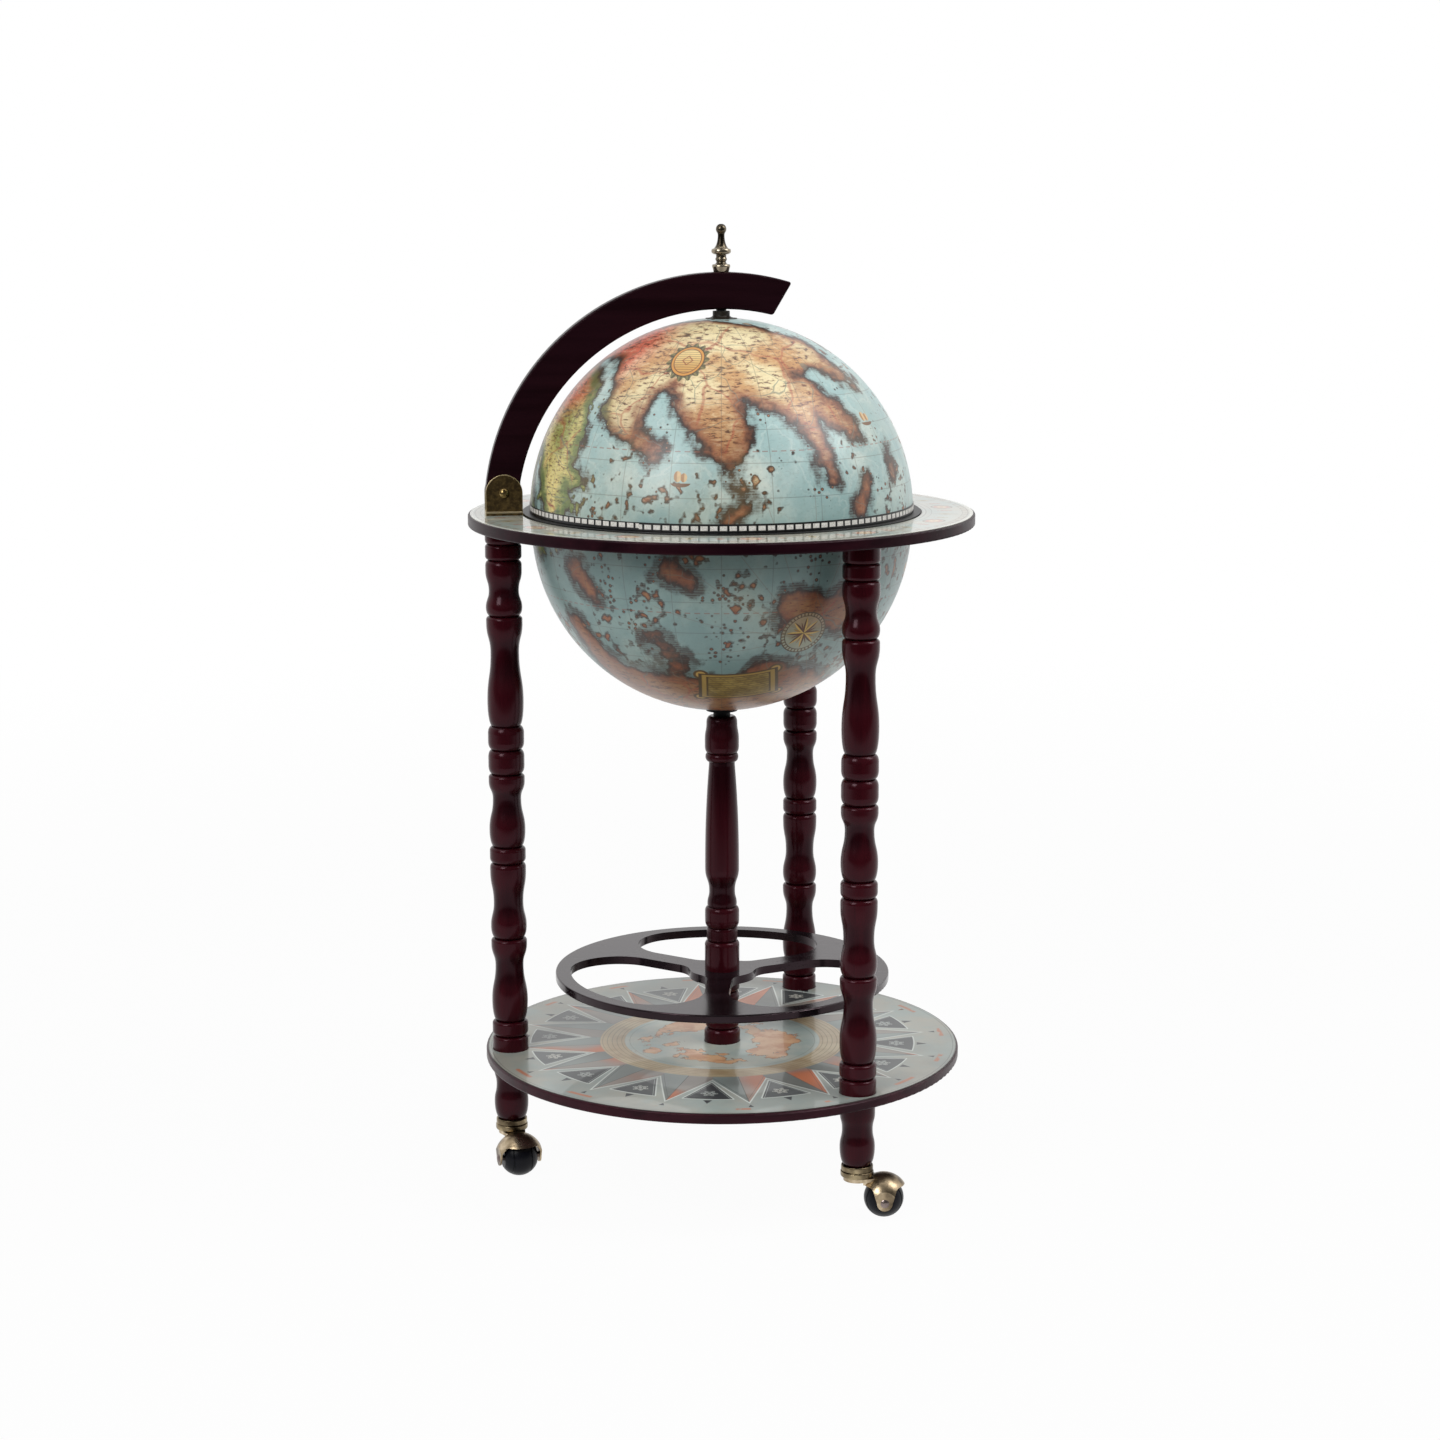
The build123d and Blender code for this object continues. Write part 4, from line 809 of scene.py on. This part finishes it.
def checker_band():
    """Black band with white blocks all the way round, its ends meeting a little askew."""
    finish = Finish("band_print", specular=0.5)
    x, y, z = finish.place.parts()
    turn = ((angle_of(x, y) - SEAM) / (2 * pi)).math("FRACT")
    across = (turn * BLOCKS).math("PINGPONG", 0.5) * (2 * pi / BLOCKS * dome_radius / MM)
    up = (z - band_bottom) / MM - BLOCK_RISE - turn * BAND_SKEW
    border = (across.abs() - BLOCK_WIDTH / 2).max(up.abs() - BLOCK_HEIGHT / 2)
    smudge = finish.place.noise(900, 3.0, 0.6)
    white = smudge.step(0.35, 0.75).mix(ink("#E9E7E1"), ink("#BDB9B2"))
    black = smudge.mix(ink("#0B0B0C"), ink("#1B1B1D"))
    finish.set(color=border.step(0.18, -0.18).mix(black, white), rough=smudge * 0.1 + 0.3)
    finish.bump(border.step(0.1, -0.1) + smudge * 0.1, 0.03 * MM)
    return finish.material


# ---------------------------------------------------------------- finishes on the carried pieces
def dress(material, *names):
    for name in names:
        nodes[name].data.materials.clear()
        nodes[name].data.materials.append(material)


def on_sides(*names):
    return [f"{name}_{side}" for name in names for side in SIDES]


def dress_prints():
    drawing = globe_map()
    dress(map_print("map_upper", drawing, globe_centre, dome_radius), "dome_shell")
    dress(map_print("map_lower", drawing, bowl_centre, bowl_radius), "bowl_shell")
    dress(checker_band(), "dome_band")
    dress(ring_chart(), "ring_print")
    dress(shelf_chart(), "shelf_print")


def dress_wood():
    dress(board_wood("ring_wood", deep=ink("#14040A"), mid=ink("#220A12"), red=ink("#3A121C"), gloss=0.12),
          "horizon_ring")
    dress(board_wood("shelf_wood", deep=ink("#200A11"), mid=ink("#32131C"), red=ink("#471D27")), "shelf")
    dress(board_wood("arm_wood", deep=ink("#14060A"), mid=ink("#1D0A10"), red=ink("#290F16"), gloss=0.10),
          "meridian_arm")
    dress(board_wood("plate_wood", deep=ink("#0C0A0C"), mid=ink("#1A1418"), red=ink("#261A1F"),
                     gloss=0.4, rough=0.12), "bottle_plate")
    dress(board_wood("rack_board", along=1, deep=ink("#2A1512"), mid=ink("#4A271E"), red=ink("#6B3A2A")),
          "rack_top", "rack_base", "rack_posts")
    dress(turned_wood("leg_wood", leg_axes, bead_radius), *on_sides("leg", "foot"))
    dress(turned_wood("column_wood", [AXIS], COLUMN_CREST), "column", "column_spool")


def dress_metal():
    dress(old_brass("antique_brass", ink("#5C5142"), ink("#A29075"), ink("#DDCCB0")),
          *on_sides("caster_hood"))
    # the finial: brighter on its crests and darker in its grooves, as painted highlight and painted shade
    # with patina
    dress(old_brass("finial_bronze", ink("#29241D"), ink("#5A5244"), ink("#968B78"), rough=0.2,
                    worn=on_crests(AXIS, 1.0 * MM, 8.5 * MM)), "finial")
    dress(old_brass("worn_brass", ink("#3A3023"), ink("#736650"), ink("#AC9C7C")), *on_sides("ferrule"))
    dress(bracket_bronze(), "hinge_bracket", "bracket_screws")
    dress(old_brass("pin_brass", ink("#5A4A2E"), ink("#8E7A50"), ink("#C8B68A"), rough=0.16), "hinge_pin")
    dress(old_brass("axle_bronze", ink("#5E5250"), ink("#8A7C78"), ink("#BDB0A9"), rough=0.24),
          *on_sides("caster_axle"))
    dress(plated_steel(), "tie_rod", "tie_nuts", "tie_washers", "leg_studs", "leg_screws", "pivot_bolt",
          "hanger_washer", "hanger_nut")


def dress_plastic():
    dress(moulded("black_plastic", ink("#0A0A0B"), ink("#151517"), 0.34, gloss=0.2),
          "bowl_rim", "thrust_washer")
    dress(moulded("bush_black", ink("#060607"), ink("#0D0D0F"), 0.40, gloss=0.10), "bowl_boss", "seat_bush")
    dress(moulded("boss_plastic", ink("#191511"), ink("#352E25"), 0.36, gloss=0.25), "dome_boss")
    dress(moulded("bush_plastic", ink("#2A2A2C"), ink("#3A3A3D"), 0.42), "dome_inner_boss")
    dress(moulded("ball_tyre", ink("#08080E"), ink("#11121B"), 0.30, gloss=0.16), *on_sides("caster_ball"))


# ---------------------------------------------------------------- floor, light and camera
ahead = radians(90 - (FRONT - 180))          # the camera's heading, clockwise from +Y
RIGHT = Vector((cos(ahead), -sin(ahead), 0))
TOWARDS = Vector((-sin(ahead), -cos(ahead), 0))
UP = Vector((0, 0, 1))
TARGET = Vector((0, 0, 0.45))    # what the lamps point at

SKY_LEVEL = 0.37                 # light from all round
ROOM_LEVEL = 0.16                # brightness of the unlit room, as mirrors see it
ROOM_START, ROOM_END = 0.9, 1.6  # where the floor goes over into that room, metres
FLOOR_REACH = 12.0
PALE_START, PALE_END = 0.9, 3.0  # where the floor goes over into plain white, metres
FLOOR_WHITE = 0.965              # how white the floor is by itself near the object

CAMERA_AT = (-0.3292, -2.6063, 0.9126)
LENS, SENSOR = 74.18, 36.0       # millimetres
YAW_TRIM, PITCH, ROLL = -0.00064, radians(10.78), 0.0015


def white_behind(tree, lit, room):
    """How much of the white background a ray sees: lit for the camera and glass, and for metal and
    varnish too, except where room is 1: the unlit room behind the camera."""
    path = tree.nodes.new("ShaderNodeLightPath")
    seen = Field(tree, path.outputs["Is Camera Ray"]).max(Field(tree, path.outputs["Is Transmission Ray"]))
    mirrored = Field(tree, path.outputs["Is Glossy Ray"]) * (1.0 - room)
    return seen.max(mirrored) * lit


def floor_paper():
    """Grey paper that takes the object's shadow, seen as white and dark in the unlit room."""
    finish = Finish("floor_paper", specular=0.0)
    paper = finish.place.noise(30, 3.0).mix(ink("#C2C2C2"), ink("#C8C8C8"))
    # painted shade: the floor's colour turns dark grey towards the camera, standing for the unlit room
    room = finish.place.along(TOWARDS).step(ROOM_START, ROOM_END)
    finish.set(color=room.mix(paper, ink("#303030")), rough=0.9)
    tree = finish.tree
    glow = tree.nodes.new("ShaderNodeEmission")
    blend = tree.nodes.new("ShaderNodeMixShader")
    far = finish.place.vector("LENGTH", output=1).step(PALE_START, PALE_END)
    lit = far * (1.0 - FLOOR_WHITE) + FLOOR_WHITE
    feed(tree, blend.inputs[0], white_behind(tree, lit, room))
    tree.links.new(finish.shader.outputs[0], blend.inputs[1])
    tree.links.new(glow.outputs[0], blend.inputs[2])
    tree.links.new(blend.outputs[0], tree.nodes["Material Output"].inputs[0])
    return finish.material


def floor():
    mesh = bpy.data.meshes.new("floor")
    made = bmesh.new()
    bmesh.ops.create_grid(made, x_segments=8, y_segments=8, size=FLOOR_REACH)
    made.to_mesh(mesh)
    made.free()
    piece = bpy.data.objects.new("floor", mesh)
    bpy.context.scene.collection.objects.link(piece)
    mesh.materials.append(floor_paper())


def sky():
    """Even light from all round: white behind the object, and the unlit room on the camera's side."""
    world = bpy.data.worlds.new("studio")
    world.use_nodes = True
    bpy.context.scene.world = world
    tree = world.node_tree
    light = tree.nodes["Background"]
    light.inputs["Color"].default_value = (1, 1, 1, 1)
    sight = Field(tree, tree.nodes.new("ShaderNodeTexCoord").outputs["Generated"])
    room = sight.along(TOWARDS).step(-0.1, 0.5)
    path = tree.nodes.new("ShaderNodeLightPath")
    dim = Field(tree, path.outputs["Is Glossy Ray"]) * room * (SKY_LEVEL - ROOM_LEVEL)
    feed(tree, light.inputs["Strength"], white_behind(tree, 1.0 - SKY_LEVEL, room) + SKY_LEVEL - dim)


def softbox(name, direction, distance, width, height, level):
    """Area lamp that lights a facing white surface to the given level."""
    data = bpy.data.lights.new(name, "AREA")
    data.shape = "RECTANGLE"
    data.size, data.size_y = width, height
    data.energy = level * (pi * distance) ** 2
    lamp = bpy.data.objects.new(name, data)
    bpy.context.scene.collection.objects.link(lamp)
    direction = direction.normalized()
    lamp.location = TARGET + direction * distance
    lamp.rotation_mode = "QUATERNION"
    lamp.rotation_quaternion = direction.to_track_quat("Z", "Y")


def camera():
    data = bpy.data.cameras.new("camera")
    data.lens, data.sensor_width = LENS, SENSOR
    piece = bpy.data.objects.new("camera", data)
    bpy.context.scene.collection.objects.link(piece)
    yaw = ahead + YAW_TRIM
    forward = Vector((sin(yaw) * cos(PITCH), cos(yaw) * cos(PITCH), -sin(PITCH)))
    right = Vector((cos(yaw), -sin(yaw), 0))
    down = forward.cross(right)
    right, down = right * cos(ROLL) + down * sin(ROLL), down * cos(ROLL) - right * sin(ROLL)
    turn = Matrix((right, -down, -forward)).transposed()
    piece.matrix_world = Matrix.Translation(CAMERA_AT) @ turn.to_4x4()
    bpy.context.scene.camera = piece


dress_prints()
dress_wood()
dress_metal()
dress_plastic()
floor()
sky()
softbox("key", RIGHT * 0.69 + UP * 0.70 + TOWARDS * 0.15, 2.4, 1.0, 1.3, 0.48)
softbox("fill", RIGHT * -0.51 + UP * 0.53 + TOWARDS * 0.68, 2.4, 0.9, 1.2, 0.46)
softbox("strip", UP * 0.96 + TOWARDS * 0.28, 1.8, 3.0, 0.14, 0.22)
camera()
bpy.context.scene.view_settings.view_transform = "Standard"
